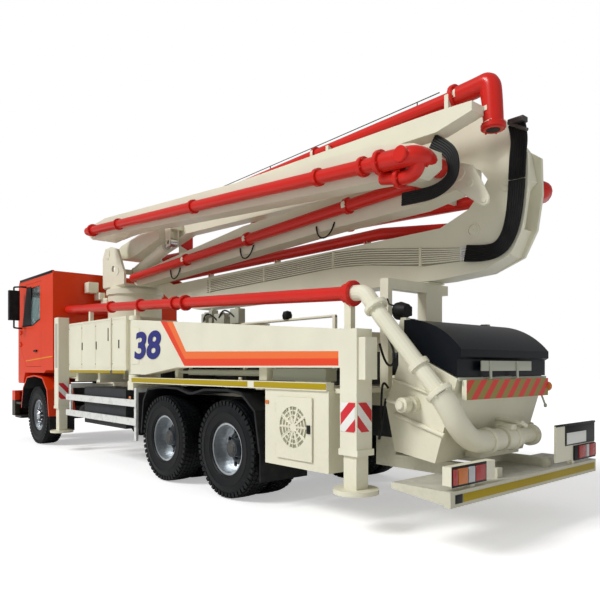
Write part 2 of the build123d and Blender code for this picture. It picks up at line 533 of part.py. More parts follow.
def cab():
    """Tilting cab: hollow shell, doors, glass, seats and mirrors."""
    nose, top = CAB_FRONT_X, CAB_ROOF_Z
    side = [
        (CAB_REAR_X, CAB_FLOOR_Z + 260), (5560, CAB_FLOOR_Z + 260), (5640, 1330), (6700, 1330),
        (6800, CAB_FLOOR_Z), (nose - 40, CAB_FLOOR_Z), (nose, 2150), (nose - 260, top - 140),
        (nose - 440, top), (CAB_REAR_X, top),
    ]
    plan = [
        (CAB_REAR_X, CAB_HALF), (nose - 390, CAB_HALF), (nose - 160, CAB_HALF - 55),
        (nose - 40, CAB_HALF - 155), (nose, CAB_HALF - 275),
    ]
    inside = [
        (CAB_REAR_X + WALL, CAB_FLOOR_Z + 305), (5580, CAB_FLOOR_Z + 305), (5660, 1375), (6720, 1375),
        (6830, CAB_FLOOR_Z + WALL), (nose - 85, CAB_FLOOR_Z + WALL), (nose - WALL, 2150),
        (nose - 300, top - 160), (nose - 460, top - WALL), (CAB_REAR_X + WALL, top - WALL),
    ]
    room_half = CAB_HALF - WALL
    room = [
        (CAB_REAR_X + WALL, room_half), (nose - 400, room_half), (nose - 185, room_half - 52),
        (nose - 75, room_half - 145), (nose - WALL, room_half - 250),
    ]
    outline = slab_z(plan + [(x, -y) for x, y in reversed(plan)], CAB_FLOOR_Z - 120, top + 180)
    cavity = slab_z(room + [(x, -y) for x, y in reversed(room)], CAB_FLOOR_Z - 120, top + 180)
    shell = (slab_y(side, -CAB_HALF, CAB_HALF) & outline) - (slab_y(inside, -room_half, room_half) & cavity)
    door = [
        (5800, 1440), (6640, 1440), (6930, 1800), (6930, 2160),
        (6900, 2260), (6640, top - 110), (5800, top - 110),
    ]
    for lo, hi in ((CAB_HALF - WALL - 5, CAB_HALF + 5), (-CAB_HALF - 5, -(CAB_HALF - WALL - 5))):
        shell = shell - slab_y(door, lo, hi)
    gap = [(nose - 190, 2220), (nose + 160, 2220), (nose - 40, top - 220), (nose - 390, top - 220)]
    shell = shell - slab_y(gap, -GLASS_HALF, GLASS_HALF)
    for k in range(6):
        low = CAB_FLOOR_Z + 330 + 90 * k
        lean = nose - 40 + 40 * (low - CAB_FLOOR_Z) / (2150 - CAB_FLOOR_Z)
        shell = shell + block(lean - 12, lean + 26, -(GLASS_HALF - 180), GLASS_HALF - 180, low, low + 42)
    hx, hy = DOOR_HINGE
    for way in (1, -1):
        for z in (1850, 2080):
            for low in (z - 20, z + 52):
                shell = shell + block(hx - 8, hx + 22, way * CAB_HALF, way * (hy + 8), low, low + 18)
            shell = shell + rod((hx, way * hy, z - 20), (hx, way * hy, z + 70), 6)
    shell = shell - slab_y(door, -CAB_HALF, -CAB_HALF + 10) - slab_y(door, CAB_HALF - 10, CAB_HALF)
    px, pz = TILT_PIVOT
    lugs = block(px - 25, px + 25, 500, 540, pz - 26, CAB_FLOOR_Z + 5) + disc_y(px, pz, TILT_PIN_R, 392, 540)
    save("cab_shell", shell + both_sides(lugs))
    pane = [(nose - 44, 2220), (nose - 32, 2220), (nose - 246, top - 220), (nose - 258, top - 220)]
    save("windscreen", slab_y(pane, -GLASS_HALF, GLASS_HALF))
    window = [(5860, 2330), (6250, 2230), (6820, 2230), (6560, top - 190), (5860, top - 190)]
    leaf = [
        (5805, 1445), (6636, 1445), (6925, 1804), (6925, 2158),
        (6895, 2258), (6636, top - 115), (5805, top - 115),
    ]
    for way, name in ((1, "left"), (-1, "right")):
        low, high = sorted((way * (CAB_HALF - WALL + 3), way * CAB_HALF))
        panel = slab_y(leaf, low, high) - slab_y(window, low - 50, high + 50)
        handle = block(6000, 6140, way * (CAB_HALF + 16), way * (CAB_HALF + 30), 1718, 1750)
        for z in (1850, 2080):
            knuckle = rod((hx, way * hy, z), (hx, way * hy, z + 50), 11)
            knuckle = knuckle + block(6880, hx, way * CAB_HALF, way * (CAB_HALF + 18), z, z + 50)
            handle = handle + (knuckle - rod((hx, way * hy, z - 5), (hx, way * hy, z + 55), 6 + RUN_GAP))
        for x in (6000, 6126):
            handle = handle + block(x, x + 14, way * CAB_HALF, way * (CAB_HALF + 30), 1718, 1750)
        save(f"door_{name}", panel + handle)
        middle = way * (CAB_HALF - 22)
        save(f"door_glass_{name}", slab_y(window, middle - 3, middle + 3))
        head = block(6700, 6790, way * (MIRROR_Y - 95), way * (MIRROR_Y + 95), 2330, 2900)
        for x, z, end in ((6615, 2967, 2880), (6870, 2190, 2350)):
            arm = [(x, way * CAB_HALF, z), (x, way * (MIRROR_Y - 95), z)]
            arm = arm + [(6745, way * MIRROR_Y, z), (6745, way * MIRROR_Y, end)]
            head = head + piping(arm, 16, 20)
        save(f"mirror_{name}", head)
    seats = []
    for y in (-SEAT_Y, SEAT_Y):
        seats.append(block(5850, 6350, y - 250, y + 250, 1800, 1930))
        seats.append(slab_y([(5720, 1900), (5870, 1900), (5760, 2650), (5660, 2650)], y - 240, y + 240))
        seats.append(block(5950, 6250, y - 180, y + 180, 1375, 1810))
    dash = [
        (nose - 290, CAB_FLOOR_Z + WALL), (nose - 90, CAB_FLOOR_Z + WALL), (nose - 68, 2140),
        (nose - 440, 2140), (nose - 490, 2000), (nose - 340, 1500),
    ]
    seats.append(slab_y(dash, -GLASS_HALF, GLASS_HALF))
    seats.append(rod((nose - 460, SEAT_Y, 1960), (nose - 750, SEAT_Y, 2185), 30))
    tilted = Pos(nose - 750, SEAT_Y, 2185) * Rot(0, -50, 0)
    seats.append(tilted * extrude(RegularPolygon(232, 20) - RegularPolygon(198, 20), 16, both=True))
    seats.append(tilted * Box(40, 410, 18))
    save("cab_inside", joined(seats))
    visor = [
        (nose - 260, top - 140), (nose - 40, top - 245), (nose - 28, top - 227), (nose - 340, top - 40),
        (nose - 340, top - 140 + 80 * 140 / 180),
    ]
    save("sun_visor", slab_y(visor, -(CAB_HALF - 235), CAB_HALF - 235))


def turret():
    """Slewing head with its cheeks and riser line."""
    base = rod((SLEW_X, 0, RING_TOP + 0.8), (SLEW_X, 0, 2850), 430)
    cheek = [(4130, 2850), (4980, 2850), (4990, 3380), (4880, 3540), (4660, 3550), (4400, 3480), (4130, 3040)]
    for y0, y1 in ((380, 420), (-420, -380)):
        base = base + slab_y(cheek, y0, y1)
    base = base + block(4150, 4970, -400, 400, 2830, 2870)
    base = base + disc_y(*ROOT, ROOT_PIN_R, -400, 400)
    base = base + disc_y(*LIFT_FOOT, FOOT_PIN_R, -400, 400)
    base = base - disc_y(4560, 3150, 60, 300, 500) - disc_y(4560, 3150, 60, -500, -300)
    x, z = ROOT
    riser = [(x, -590, z), (x, -700, z), (4570, -552, 3030), (4570, -420, 2960)]
    save("turret", base + piping(riser, PIPE_R, BEND_R) + rod((4570, -470, 2986), (4570, -415, 2957), 60))


def hangers(lane_y, pipe_y, line_a, line_b, stations):
    """Flat arms from a section's side to its pipe, at places along the length."""
    arms = []
    for x in stations:
        z = between(line_a, line_b, x)
        arms.append(block(x - 20, x + 20, lane_y, pipe_y, z - 25, z + 25))
    return joined(arms)


def boom_one():
    """Main section from the turret to the rear hinge."""
    side = [
        (4700, 3350), (4870, 3380), (4900, 3520), (4700, 3600), (3300, 3790), (-400, 3850), (-2100, 3870),
        (-2450, 3780), (-2700, 3400), (-2760, 3110), (-2600, 2960),
        (-2440, 3110), (-2300, 3300), (-1900, 3470),
        (-400, 3455), (3000, 3580), (4300, 3335),
    ]
    root = [
        (4700, 3350), (4870, 3380), (4900, 3520), (4700, 3600), (3330, 3786), (3330, 3518), (4300, 3335),
    ]
    shape = slab_y(side, -290, -90) + slab_y(root, -290, 200)
    ex, ez = LIFT_EYE
    shape = shape + block(ex - 100, ex + 100, -100, 140, 3640, 3760)
    ear = [(ex - 90, 3660), (ex + 90, 3660), (ex + 55, ez - 60), (ex - 55, ez - 60)]
    for y0 in (LIFT_Y0 - 20, LIFT_Y1 + 5):
        shape = shape + (slab_y(ear, y0, y0 + 15) - disc_y(ex, ez, LIFT_PIN_R, y0 - 5, y0 + 20))
    shape = shape - disc_y(*ROOT, ROOT_PIN_R + RUN_GAP, -500, 500)
    shape = shape - disc_y(*J12, FOLD_PIN_R + RUN_GAP, -500, 500)
    line = [
        (ROOT[0], -586, ROOT[1]), (ROOT[0], PIPE1_Y, ROOT[1]),
        (J12[0], PIPE1_Y, J12[1]), (J12[0], -586, J12[1]),
    ]
    for x in (3500, 1500, -500, -1800):
        z = between(ROOT, J12, x)
        under = between((-400, 3455), (3000, 3580), x)
        shape = shape + block(x - 15, x + 15, -540, -280, z - 20, under + 70)
    for along in (0.18, 0.4, 0.68, 0.93):
        shape = shape + collar(line, 1, along, 88, 45)
    save("boom_1", shape + piping(line, PIPE_R, BEND_R))


def boom_two():
    """Second section: goose neck behind, long box ahead."""
    side = [
        (-1880, 2305), (-2330, 2335), (-2630, 2450), (-2750, 2680),
        (-2800, 3000), (-2790, 3330), (-2700, 3400),
        (-2500, 3330), (-2350, 3100), (-2200, 2940), (-1880, 2815), (3300, 2790), (3850, 3030), (4000, 3058),
        (4100, 3040), (4145, 2935), (4110, 2840), (3990, 2812),
        (3850, 2795), (3300, 2480), (2600, 2330), (-1800, 2305),
    ]
    box = [
        (-1880, 2305), (-2330, 2335), (-2600, 2450), (-2700, 2680),
        (-2350, 2900), (-1880, 2815), (3300, 2790),
        (3300, 2480), (2600, 2330),
    ]
    shape = slab_y(side, MAIN_LO, -295) + slab_y(side, -85, MAIN_HI) + slab_y(box, MAIN_LO, MAIN_HI)
    shape = shape - disc_y(*J23, HUB_R + RUN_GAP, -500, 500)
    shape = shape + disc_y(*J12, FOLD_PIN_R, MAIN_LO, MAIN_HI)
    line = [
        (J12[0], -590, J12[1]), (J12[0], PIPE2_Y, J12[1]), (-1750, PIPE2_Y, 2930), (-1000, PIPE2_TOP_Y, 2925),
        (J23[0], PIPE2_TOP_Y, J23[1]), (J23[0], -95, J23[1]),
    ]
    for x in (-800, 800, 2400):
        shape = shape + block(x - 20, x + 20, -230, -150, 2780, 2900)
    shape = shape + block(-1950, -1910, -720, MAIN_LO, 2740, 2780)
    shape = shape + block(-1950, -1910, -720, -660, 2740, 2950)
    save("boom_2", shape + piping(line, PIPE_R, BEND_R))


def boom_three():
    """Third section, beside the second."""
    side = [
        (4000, 2815), (4110, 2860), (4120, 2990), (4000, 3055), (3700, 3060), (1000, 3300), (-1800, 3345),
        (-2200, 3340), (-2370, 3250), (-2370, 3120), (-2250, 3060), (-1800, 2990), (-600, 2980), (3400, 2830),
    ]
    cheek = [
        (-1350, 3330), (-2200, 3340), (-2370, 3250), (-2370, 3120),
        (-2250, 3060), (-2100, 3060), (-1500, 3290),
    ]
    shape = slab_y(side, THIRD_LO, THIRD_HI)
    shape = shape + slab_y(cheek, 430, 470) + block(-1500, -1380, 200, 470, 3290, 3330)
    shape = shape + disc_y(*J23, HUB_R, MAIN_HI - 38, THIRD_LO)
    shape = shape - disc_y(*J23, HUB_BORE, -100, 300) - disc_y(*J34, HUB_R + RUN_GAP, 400, 500)
    line = [(J23[0], -91, J23[1]), (J23[0], PIPE3_Y, J23[1])]
    line = line + [(J34[0], PIPE3_Y, J34[1]), (J34[0], 550, J34[1])]
    shape = shape + hangers(THIRD_HI, PIPE3_Y, J23, J34, (3000, 1200, -600, -1900))
    for along in (0.28, 0.52, 0.8):
        shape = shape + collar(line, 1, along, 88, 45)
    save("boom_3", shape + piping(line, PIPE_R, BEND_R))


def boom_four():
    """Fourth section, in the outer lane."""
    side = [
        (-2250, 3060), (-2380, 3130), (-2380, 3270), (-2250, 3340), (-1800, 3440), (3900, 3850), (4400, 3820),
        (4520, 3760), (4520, 3640), (4400, 3580), (3900, 3560), (-1800, 3110),
    ]
    shape = slab_y(side, FOURTH_LO, FOURTH_HI)
    shape = shape + disc_y(*J34, HUB_R, 427, FOURTH_LO)
    shape = shape - disc_y(*J34, HUB_BORE, 400, 900) - disc_y(*J45, HUB_R + RUN_GAP, 600, 900)
    line = [(J34[0], 554, J34[1]), (J34[0], PIPE4_Y, J34[1])]
    line = line + [(J45[0], PIPE4_Y, J45[1]), (J45[0], 880, J45[1])]
    shape = shape + hangers(FOURTH_HI, PIPE4_Y, J34, J45, (3600, 1200, -600, -1900))
    for along in (0.16, 0.5, 0.82):
        shape = shape + collar(line, 1, along, 88, 45)
    save("boom_4", shape + piping(line, PIPE_R, BEND_R))


def boom_five():
    """Tip section with the end elbow."""
    side = [
        (4400, 3580), (4520, 3640), (4520, 3760), (4400, 3815), (4000, 3790), (-2300, 3660), (-2650, 3640),
        (-2650, 3560), (-2300, 3480), (4000, 3600),
    ]
    shape = slab_y(side, FIFTH_LO, FIFTH_HI) + disc_y(*J45, HUB_R, FIFTH_HI, FOURTH_HI + 4)
    shape = shape - disc_y(*J45, HUB_BORE, 400, 900)
    far = (-2630, 3860)
    line = [
        (J45[0], 876, J45[1]), (J45[0], PIPE5_Y, J45[1]), (far[0], PIPE5_Y, far[1]), (-2690, PIPE5_Y, 3480),
    ]
    for x in (3200, 1200, -800, -2300):
        z = between(J45, far, x)
        shape = shape + block(x - 20, x + 20, PIPE5_Y, 460, between((-2300, 3660), (4000, 3790), x) - 60, z)
    for index, along in ((1, 0.22), (1, 0.45), (1, 0.7), (1, 0.96), (2, 0.62), (2, 0.96)):
        shape = shape + collar(line, index, along, 88, 40)
    save("boom_5", shape + piping(line, PIPE_R, BEND_R))


def lift_cylinder():
    """Barrel hinged on the turret and the rod that pushes the first section."""
    mid_y = (LIFT_Y0 + LIFT_Y1) / 2
    foot = Vector(LIFT_FOOT[0], mid_y, LIFT_FOOT[1])
    eye = Vector(LIFT_EYE[0], mid_y, LIFT_EYE[1])
    way = (eye - foot).normalized()
    barrel = tube(tuple(foot + way * 110), tuple(foot + way * 1130), BARREL_R, LIFT_ROD_R + RUN_GAP)
    barrel = barrel + rod(tuple(foot + way * 60), tuple(foot + way * 130), BARREL_R)
    barrel = barrel + disc_y(foot.X, foot.Z, 85, LIFT_Y0, LIFT_Y1)
    save("lift_barrel", barrel - disc_y(foot.X, foot.Z, FOOT_PIN_R + RUN_GAP, -50, 200))
    bar = rod(tuple(foot + way * 160), tuple(eye - way * 50), LIFT_ROD_R)
    ring = disc_y(eye.X, eye.Z, 70, LIFT_Y0, LIFT_Y1)
    save("lift_rod", bar + ring - disc_y(eye.X, eye.Z, LIFT_PIN_R + RUN_GAP, -50, 200))


def build_all():
    """Every node of the machine."""
    wheels()
    running_gear()
    chassis()
    subframe()
    front_outriggers()
    rear_outriggers()
    rear_end()
    delivery_line()
    cab()
    turret()
    boom_one()
    boom_two()
    boom_three()
    boom_four()
    boom_five()
    lift_cylinder()


build_all()
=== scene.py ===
"""Looks of a three-axle concrete pump truck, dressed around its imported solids.

Lengths inside the classes are millimetres on the maker's drawing: X forward from the rear axle,
Y to the truck's left and Z up from the ground. Maker.done turns them into the shared frame.
"""

import json
import logging
import math
from dataclasses import dataclass, field
from enum import Enum

import bmesh
import bpy
from mathutils import Matrix, Vector

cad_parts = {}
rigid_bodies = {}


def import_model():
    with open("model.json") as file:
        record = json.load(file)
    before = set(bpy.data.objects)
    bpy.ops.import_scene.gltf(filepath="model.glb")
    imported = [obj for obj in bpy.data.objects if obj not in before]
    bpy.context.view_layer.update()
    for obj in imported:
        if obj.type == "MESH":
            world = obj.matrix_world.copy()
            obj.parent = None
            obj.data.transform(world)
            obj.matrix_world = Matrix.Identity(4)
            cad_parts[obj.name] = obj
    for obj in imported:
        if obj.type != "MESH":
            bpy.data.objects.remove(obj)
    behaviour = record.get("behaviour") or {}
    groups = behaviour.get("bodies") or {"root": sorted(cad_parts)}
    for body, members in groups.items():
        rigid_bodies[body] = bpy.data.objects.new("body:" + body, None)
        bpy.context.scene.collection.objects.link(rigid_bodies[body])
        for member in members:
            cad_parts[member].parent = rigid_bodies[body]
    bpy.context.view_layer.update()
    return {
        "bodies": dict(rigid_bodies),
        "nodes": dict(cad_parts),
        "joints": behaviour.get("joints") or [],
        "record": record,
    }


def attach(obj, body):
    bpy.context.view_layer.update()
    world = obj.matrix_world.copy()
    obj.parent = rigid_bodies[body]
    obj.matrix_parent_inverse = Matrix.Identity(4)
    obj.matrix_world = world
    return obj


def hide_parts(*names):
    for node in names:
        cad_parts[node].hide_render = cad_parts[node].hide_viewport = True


LOG = logging.getLogger("pump_truck")
MID_X = 2356.0
MM = 0.001
SHARP = math.radians(35)
FAR = 9000.0
Point = tuple[float, float, float]
Flat = tuple[float, float]


class Axis(Enum):
    """Direction of a turned or extruded form."""

    X = 0
    Y = 1
    Z = 2


class Side(Enum):
    """Side of the truck, as a sign on Y."""

    LEFT = 1
    RIGHT = -1


def linear(red: int, green: int, blue: int) -> tuple[float, float, float, float]:
    """A display colour as the linear value that a shader takes.

    Args:
        red: Red, 0 to 255.
        green: Green, 0 to 255.
        blue: Blue, 0 to 255.

    Returns:
        The linear colour with an alpha of 1.
    """
    parts = [c / 255.0 for c in (red, green, blue)]
    low = [c / 12.92 if c <= 0.04045 else ((c + 0.055) / 1.055) ** 2.4 for c in parts]
    return (low[0], low[1], low[2], 1.0)


def row(point: Point) -> Vector:
    """A drawing point as a vector of the shared frame, in metres."""
    return Vector(((point[0] - MID_X) * MM, point[1] * MM, point[2] * MM))


def along(a: Flat, b: Flat, x: float) -> float:
    """Height at x on the straight line from a to b."""
    return a[1] + (b[1] - a[1]) * (x - a[0]) / (b[0] - a[0])


def around(count: int, shift: float = 0.0) -> list[Flat]:
    """Places at even steps of a full turn.

    Args:
        count: How many places.
        shift: Part of a step by which the first is moved.

    Returns:
        Cosine and sine of each place.
    """
    turns = [math.tau * (k + shift) / count for k in range(count)]
    return [(math.cos(turn), math.sin(turn)) for turn in turns]


def feed(tree: bpy.types.NodeTree, socket: bpy.types.NodeSocket, value: object) -> None:
    """Link a socket to a Shade, or set its constant.

    Args:
        tree: The node tree.
        socket: The input to fill.
        value: A Shade, or the constant.
    """
    if isinstance(value, Shade):
        tree.links.new(value.socket, socket)
    else:
        socket.default_value = value


class Shade:
    """One socket of a shader tree, on which Python operators add Math nodes."""

    def __init__(self, tree: bpy.types.NodeTree, socket: bpy.types.NodeSocket) -> None:
        """Keep the tree and the socket that holds the value."""
        self.tree = tree
        self.socket = socket

    def math(self, operation: str, *others: "Shade | float", clamp: bool = False) -> "Shade":
        """Add a Math node that starts from this value.

        Args:
            operation: The Math node's operation.
            others: Its further inputs.
            clamp: True to hold the result between 0 and 1.

        Returns:
            The node's result.
        """
        made = self.tree.nodes.new("ShaderNodeMath")
        made.operation = operation
        made.use_clamp = clamp
        for socket, value in zip(made.inputs, (self, *others)):
            feed(self.tree, socket, value)
        return Shade(self.tree, made.outputs[0])

    def __add__(self, other: "Shade | float") -> "Shade":
        """Sum."""
        return self.math("ADD", other)

    __radd__ = __add__

    def __sub__(self, other: "Shade | float") -> "Shade":
        """Difference."""
        return self.math("SUBTRACT", other)

    def __rsub__(self, other: float) -> "Shade":
        """Difference from a number."""
        return self.math("MULTIPLY", -1.0).math("ADD", other)

    def __mul__(self, other: "Shade | float") -> "Shade":
        """Product."""
        return self.math("MULTIPLY", other)

    __rmul__ = __mul__

    def __truediv__(self, other: "Shade | float") -> "Shade":
        """Quotient."""
        return self.math("DIVIDE", other)

    def __gt__(self, other: "Shade | float") -> "Shade":
        """1 where this value is the larger."""
        return self.math("GREATER_THAN", other)

    def __lt__(self, other: "Shade | float") -> "Shade":
        """1 where this value is the smaller."""
        return self.math("LESS_THAN", other)

    def wave(self, period: float) -> "Shade":
        """Rise from 0 to 1 once in each period."""
        return (self / period).math("FRACT")

    def rising(self, low: float, high: float) -> "Shade":
        """Clamped ramp that is 0 at low and 1 at high."""
        return ((self - low) / (high - low)).math("ADD", 0.0, clamp=True)


class Paintbox:
    """A new material and the tools that fill its node tree."""

    def __init__(self, name: str) -> None:
        """Start an empty principled material.

        Args:
            name: The material's name.
        """
        self.material = bpy.data.materials.new(name)
        self.material.use_nodes = True
        self.tree = self.material.node_tree
        self.tree.nodes.clear()
        self.surface = self.tree.nodes.new("ShaderNodeBsdfPrincipled")
        output = self.tree.nodes.new("ShaderNodeOutputMaterial")
        self.tree.links.new(self.surface.outputs[0], output.inputs[0])
        place = self.tree.nodes.new("ShaderNodeTexCoord")
        self.place = Shade(self.tree, place.outputs["Object"])

    def node(self, kind: str, **values: object) -> Shade:
        """Add any node but Math.

        Args:
            kind: The node's type.
            values: Its sockets by name, as values or links.

        Returns:
            Its first output.
        """
        made = self.tree.nodes.new(kind)
        for key, value in values.items():
            feed(self.tree, made.inputs[key], value)
        return Shade(self.tree, made.outputs[0])

    def noise(self, scale: float, detail: float = 3.0, rough: float = 0.55) -> Shade:
        """Noise on object coordinates, from 0 to 1."""
        return self.node("ShaderNodeTexNoise", Vector=self.place, Scale=scale, Detail=detail, Roughness=rough)

    def axes(self) -> tuple[Shade, Shade, Shade]:
        """X, Y and Z on the drawing, in millimetres."""
        split = self.tree.nodes.new("ShaderNodeSeparateXYZ")
        self.tree.links.new(self.place.socket, split.inputs[0])
        x, y, z = (Shade(self.tree, out) for out in split.outputs)
        return x * 1000.0 + MID_X, y * 1000.0, z * 1000.0

    def blend(self, mask: Shade, first: object, second: object) -> Shade:
        """Colour that goes from first to second as mask goes from 0 to 1."""
        made = self.tree.nodes.new("ShaderNodeMix")
        made.data_type = "RGBA"
        self.tree.links.new(mask.socket, made.inputs[0])
        feed(self.tree, made.inputs[6], first)
        feed(self.tree, made.inputs[7], second)
        return Shade(self.tree, made.outputs[2])

    def put(self, **values: object) -> None:
        """Set or link the surface's sockets by name, with _ for a space."""
        for key, value in values.items():
            feed(self.tree, self.surface.inputs[key.replace("_", " ")], value)

    def bump(self, height: Shade, strength: float, distance: float) -> None:
        """Bump the surface by a height."""
        self.put(Normal=self.node("ShaderNodeBump", Height=height, Strength=strength, Distance=distance))


@dataclass(frozen=True)
class Paint:
    """Sprayed paint with a slight peel and road dust low down."""

    name: str
    colour: tuple[int, int, int]
    rough: float = 0.34
    coat: float = 0.2
    dust: float = 0.16
    grime: tuple[int, int, int] = (150, 140, 112)
    lower: tuple[int, int, int] | None = None
    split: float = 0.0

    def make(self) -> bpy.types.Material:
        """Build the material."""
        box = Paintbox(self.name)
        base = linear(*self.colour)
        cloud = box.noise(1.7, 4.0)
        shade = tuple(c * 0.93 for c in base[:3]) + (1.0,)
        tone = box.blend(cloud.rising(0.35, 0.7), base, shade)
        height = box.axes()[2]
        if self.lower is not None:
            tone = box.blend(height < self.split, tone, linear(*self.lower))
        low = (1.0 - height.rising(250.0, 1500.0)) * self.dust
        speck = box.noise(26.0, 5.0).rising(0.45, 0.75) * 0.5 + 0.6
        dirty = box.blend(low * speck, tone, linear(*self.grime))
        box.put(Base_Color=dirty, Roughness=cloud * 0.10 + low * 0.5 + self.rough)
        box.put(Coat_Weight=self.coat, Coat_Roughness=0.12, Specular_IOR_Level=0.2)
        box.bump(box.noise(220.0, 2.0), 0.06, 0.001)
        return box.material


@dataclass(frozen=True)
class Striped:
    """Cream arm with its orange band and the sloping stroke at its front, lighter on the inner side."""

    name: str
    colour: tuple[int, int, int]
    light: tuple[int, int, int] = (240, 112, 48)
    deep: tuple[int, int, int] = (230, 60, 12)
    darker_patches: tuple[int, int, int] = (222, 219, 198)
    flank: float = 1246.0
    bottom: float = 1448.0
    rear: float = -1742.0

    def make(self) -> bpy.types.Material:
        """Build the material."""
        box = Paintbox(self.name)
        x, y, z = box.axes()
        cloud = box.noise(1.7, 4.0).rising(0.35, 0.7)
        # Cream with a slightly darker tone mixed in, in large random patches.
        cream = box.blend(cloud, linear(*self.colour), linear(*self.darker_patches))
        outside = y.math("ABSOLUTE") > self.flank
        front = (z - 1452.0) * 1.008 + 816.0
        back = (z - 1613.0) * 0.827 + 771.0
        top = (x + 1739.0) * 0.0179 + 1575.0
        whole = (x < front) * (z > self.bottom) * (x > self.rear) * outside
        shape = whole * ((z < top) + (x > back)).math("MINIMUM", 1.0)
        light = shape * (x < (front + back) * 0.5) * (z > (top + self.bottom) * 0.5)
        deep = shape - light
        tone = box.blend(deep, box.blend(light, cream, linear(*self.light)), linear(*self.deep))
        box.put(Base_Color=tone, Roughness=box.noise(3.0) * 0.1 + 0.34)
        box.put(Coat_Weight=0.25, Coat_Roughness=0.12)
        box.bump(box.noise(220.0, 2.0), 0.06, 0.001)
        return box.material


@dataclass(frozen=True)
class Rubber:
    """Black rubber or textured plastic with grey dust."""

    name: str
    colour: tuple[int, int, int]
    dust: tuple[int, int, int] = (92, 92, 88)
    amount: float = 0.35
    rough: float = 0.62
    grain: float = 140.0

    def make(self) -> bpy.types.Material:
        """Build the material."""
        box = Paintbox(self.name)
        mask = box.noise(9.0, 5.0).rising(0.42, 0.8) * self.amount
        box.put(Base_Color=box.blend(mask, linear(*self.colour), linear(*self.dust)))
        box.put(Roughness=mask * 0.3 + self.rough, Specular_IOR_Level=0.22)
        box.bump(box.noise(self.grain, 3.0), 0.25, 0.0015)
        return box.material


@dataclass(frozen=True)
class Metal:
    """Bare, galvanised or plated metal."""

    name: str
    colour: tuple[int, int, int]
    rough: float = 0.3
    metallic: float = 1.0
    stain: tuple[int, int, int] = (96, 92, 86)
    amount: float = 0.35

    def make(self) -> bpy.types.Material:
        """Build the material."""
        box = Paintbox(self.name)
        cloud = box.noise(14.0, 5.0)
        mask = cloud.rising(0.48, 0.8) * self.amount
        box.put(Base_Color=box.blend(mask, linear(*self.colour), linear(*self.stain)))
        box.put(Roughness=cloud * 0.22 + self.rough, Metallic=self.metallic)
        box.bump(box.noise(180.0, 2.0), 0.08, 0.001)
        return box.material


@dataclass(frozen=True)
class Glass:
    """Tinted glass, or the coloured lens of a lamp."""

    name: str
    colour: tuple[int, int, int]
    clear: float = 0.85
    rough: float = 0.04
    cell: float = 0.0

    def make(self) -> bpy.types.Material:
        """Build the material."""
        box = Paintbox(self.name)
        haze = box.noise(6.0, 3.0)
        tone = box.blend(haze * 0.2, linear(*self.colour), linear(180, 186, 180))
        box.put(Base_Color=tone, Roughness=haze * 0.06 + self.rough)
        box.put(Transmission_Weight=self.clear, IOR=1.45)
        if self.cell > 0.0:
            x, y, z = box.axes()
            across = ((y + x).wave(self.cell) - 0.5).math("ABSOLUTE")
            ribs = across + (z.wave(self.cell) - 0.5).math("ABSOLUTE")
            box.bump(ribs, 0.5, 0.003)
        return box.material


@dataclass(frozen=True)
class Chevron:
    """Warning board of slanted red and white, or red and yellow, bands."""

    name: str
    first: tuple[int, int, int]
    second: tuple[int, int, int]
    width: float
    flip: bool = False
    flat: Axis = Axis.X

    def make(self) -> bpy.types.Material:
        """Build the material."""
        box = Paintbox(self.name)
        x, y, z = box.axes()
        across = y if self.flat is Axis.X else x
        slant = (across - z) if self.flip else (across + z)
        band = slant.wave(self.width) > 0.5
        cell = box.noise(90.0, 2.0)
        tone = box.blend(band, linear(*self.first), linear(*self.second))
        box.put(Base_Color=box.blend(cell * 0.12, tone, linear(120, 110, 90)))
        box.put(Roughness=cell * 0.1 + 0.3)
        box.bump(cell, 0.1, 0.001)
        return box.material


@dataclass(frozen=True)
class Chequer:
    """Tread plate with crossed raised bars."""

    name: str
    colour: tuple[int, int, int]
    pitch: float = 26.0

    def make(self) -> bpy.types.Material:
        """Build the material."""
        box = Paintbox(self.name)
        x, y, z = box.axes()
        first = ((x + y).wave(self.pitch) < 0.32) * ((x - y).wave(self.pitch) < 0.75)
        second = ((x - y + self.pitch / 2).wave(self.pitch) < 0.32) * ((x + y).wave(self.pitch) > 0.4)
        bars = (first + second).math("MINIMUM", 1.0)
        wear = box.noise(7.0, 4.0).rising(0.4, 0.75)
        ground = box.blend(wear * 0.4, linear(*self.colour), linear(120, 112, 96))
        box.put(Base_Color=box.blend(bars * 0.35, ground, linear(232, 230, 220)))
        box.put(Roughness=wear * 0.2 + 0.4, Metallic=0.25)
        box.bump(bars, 0.8, 0.003)
        return box.material


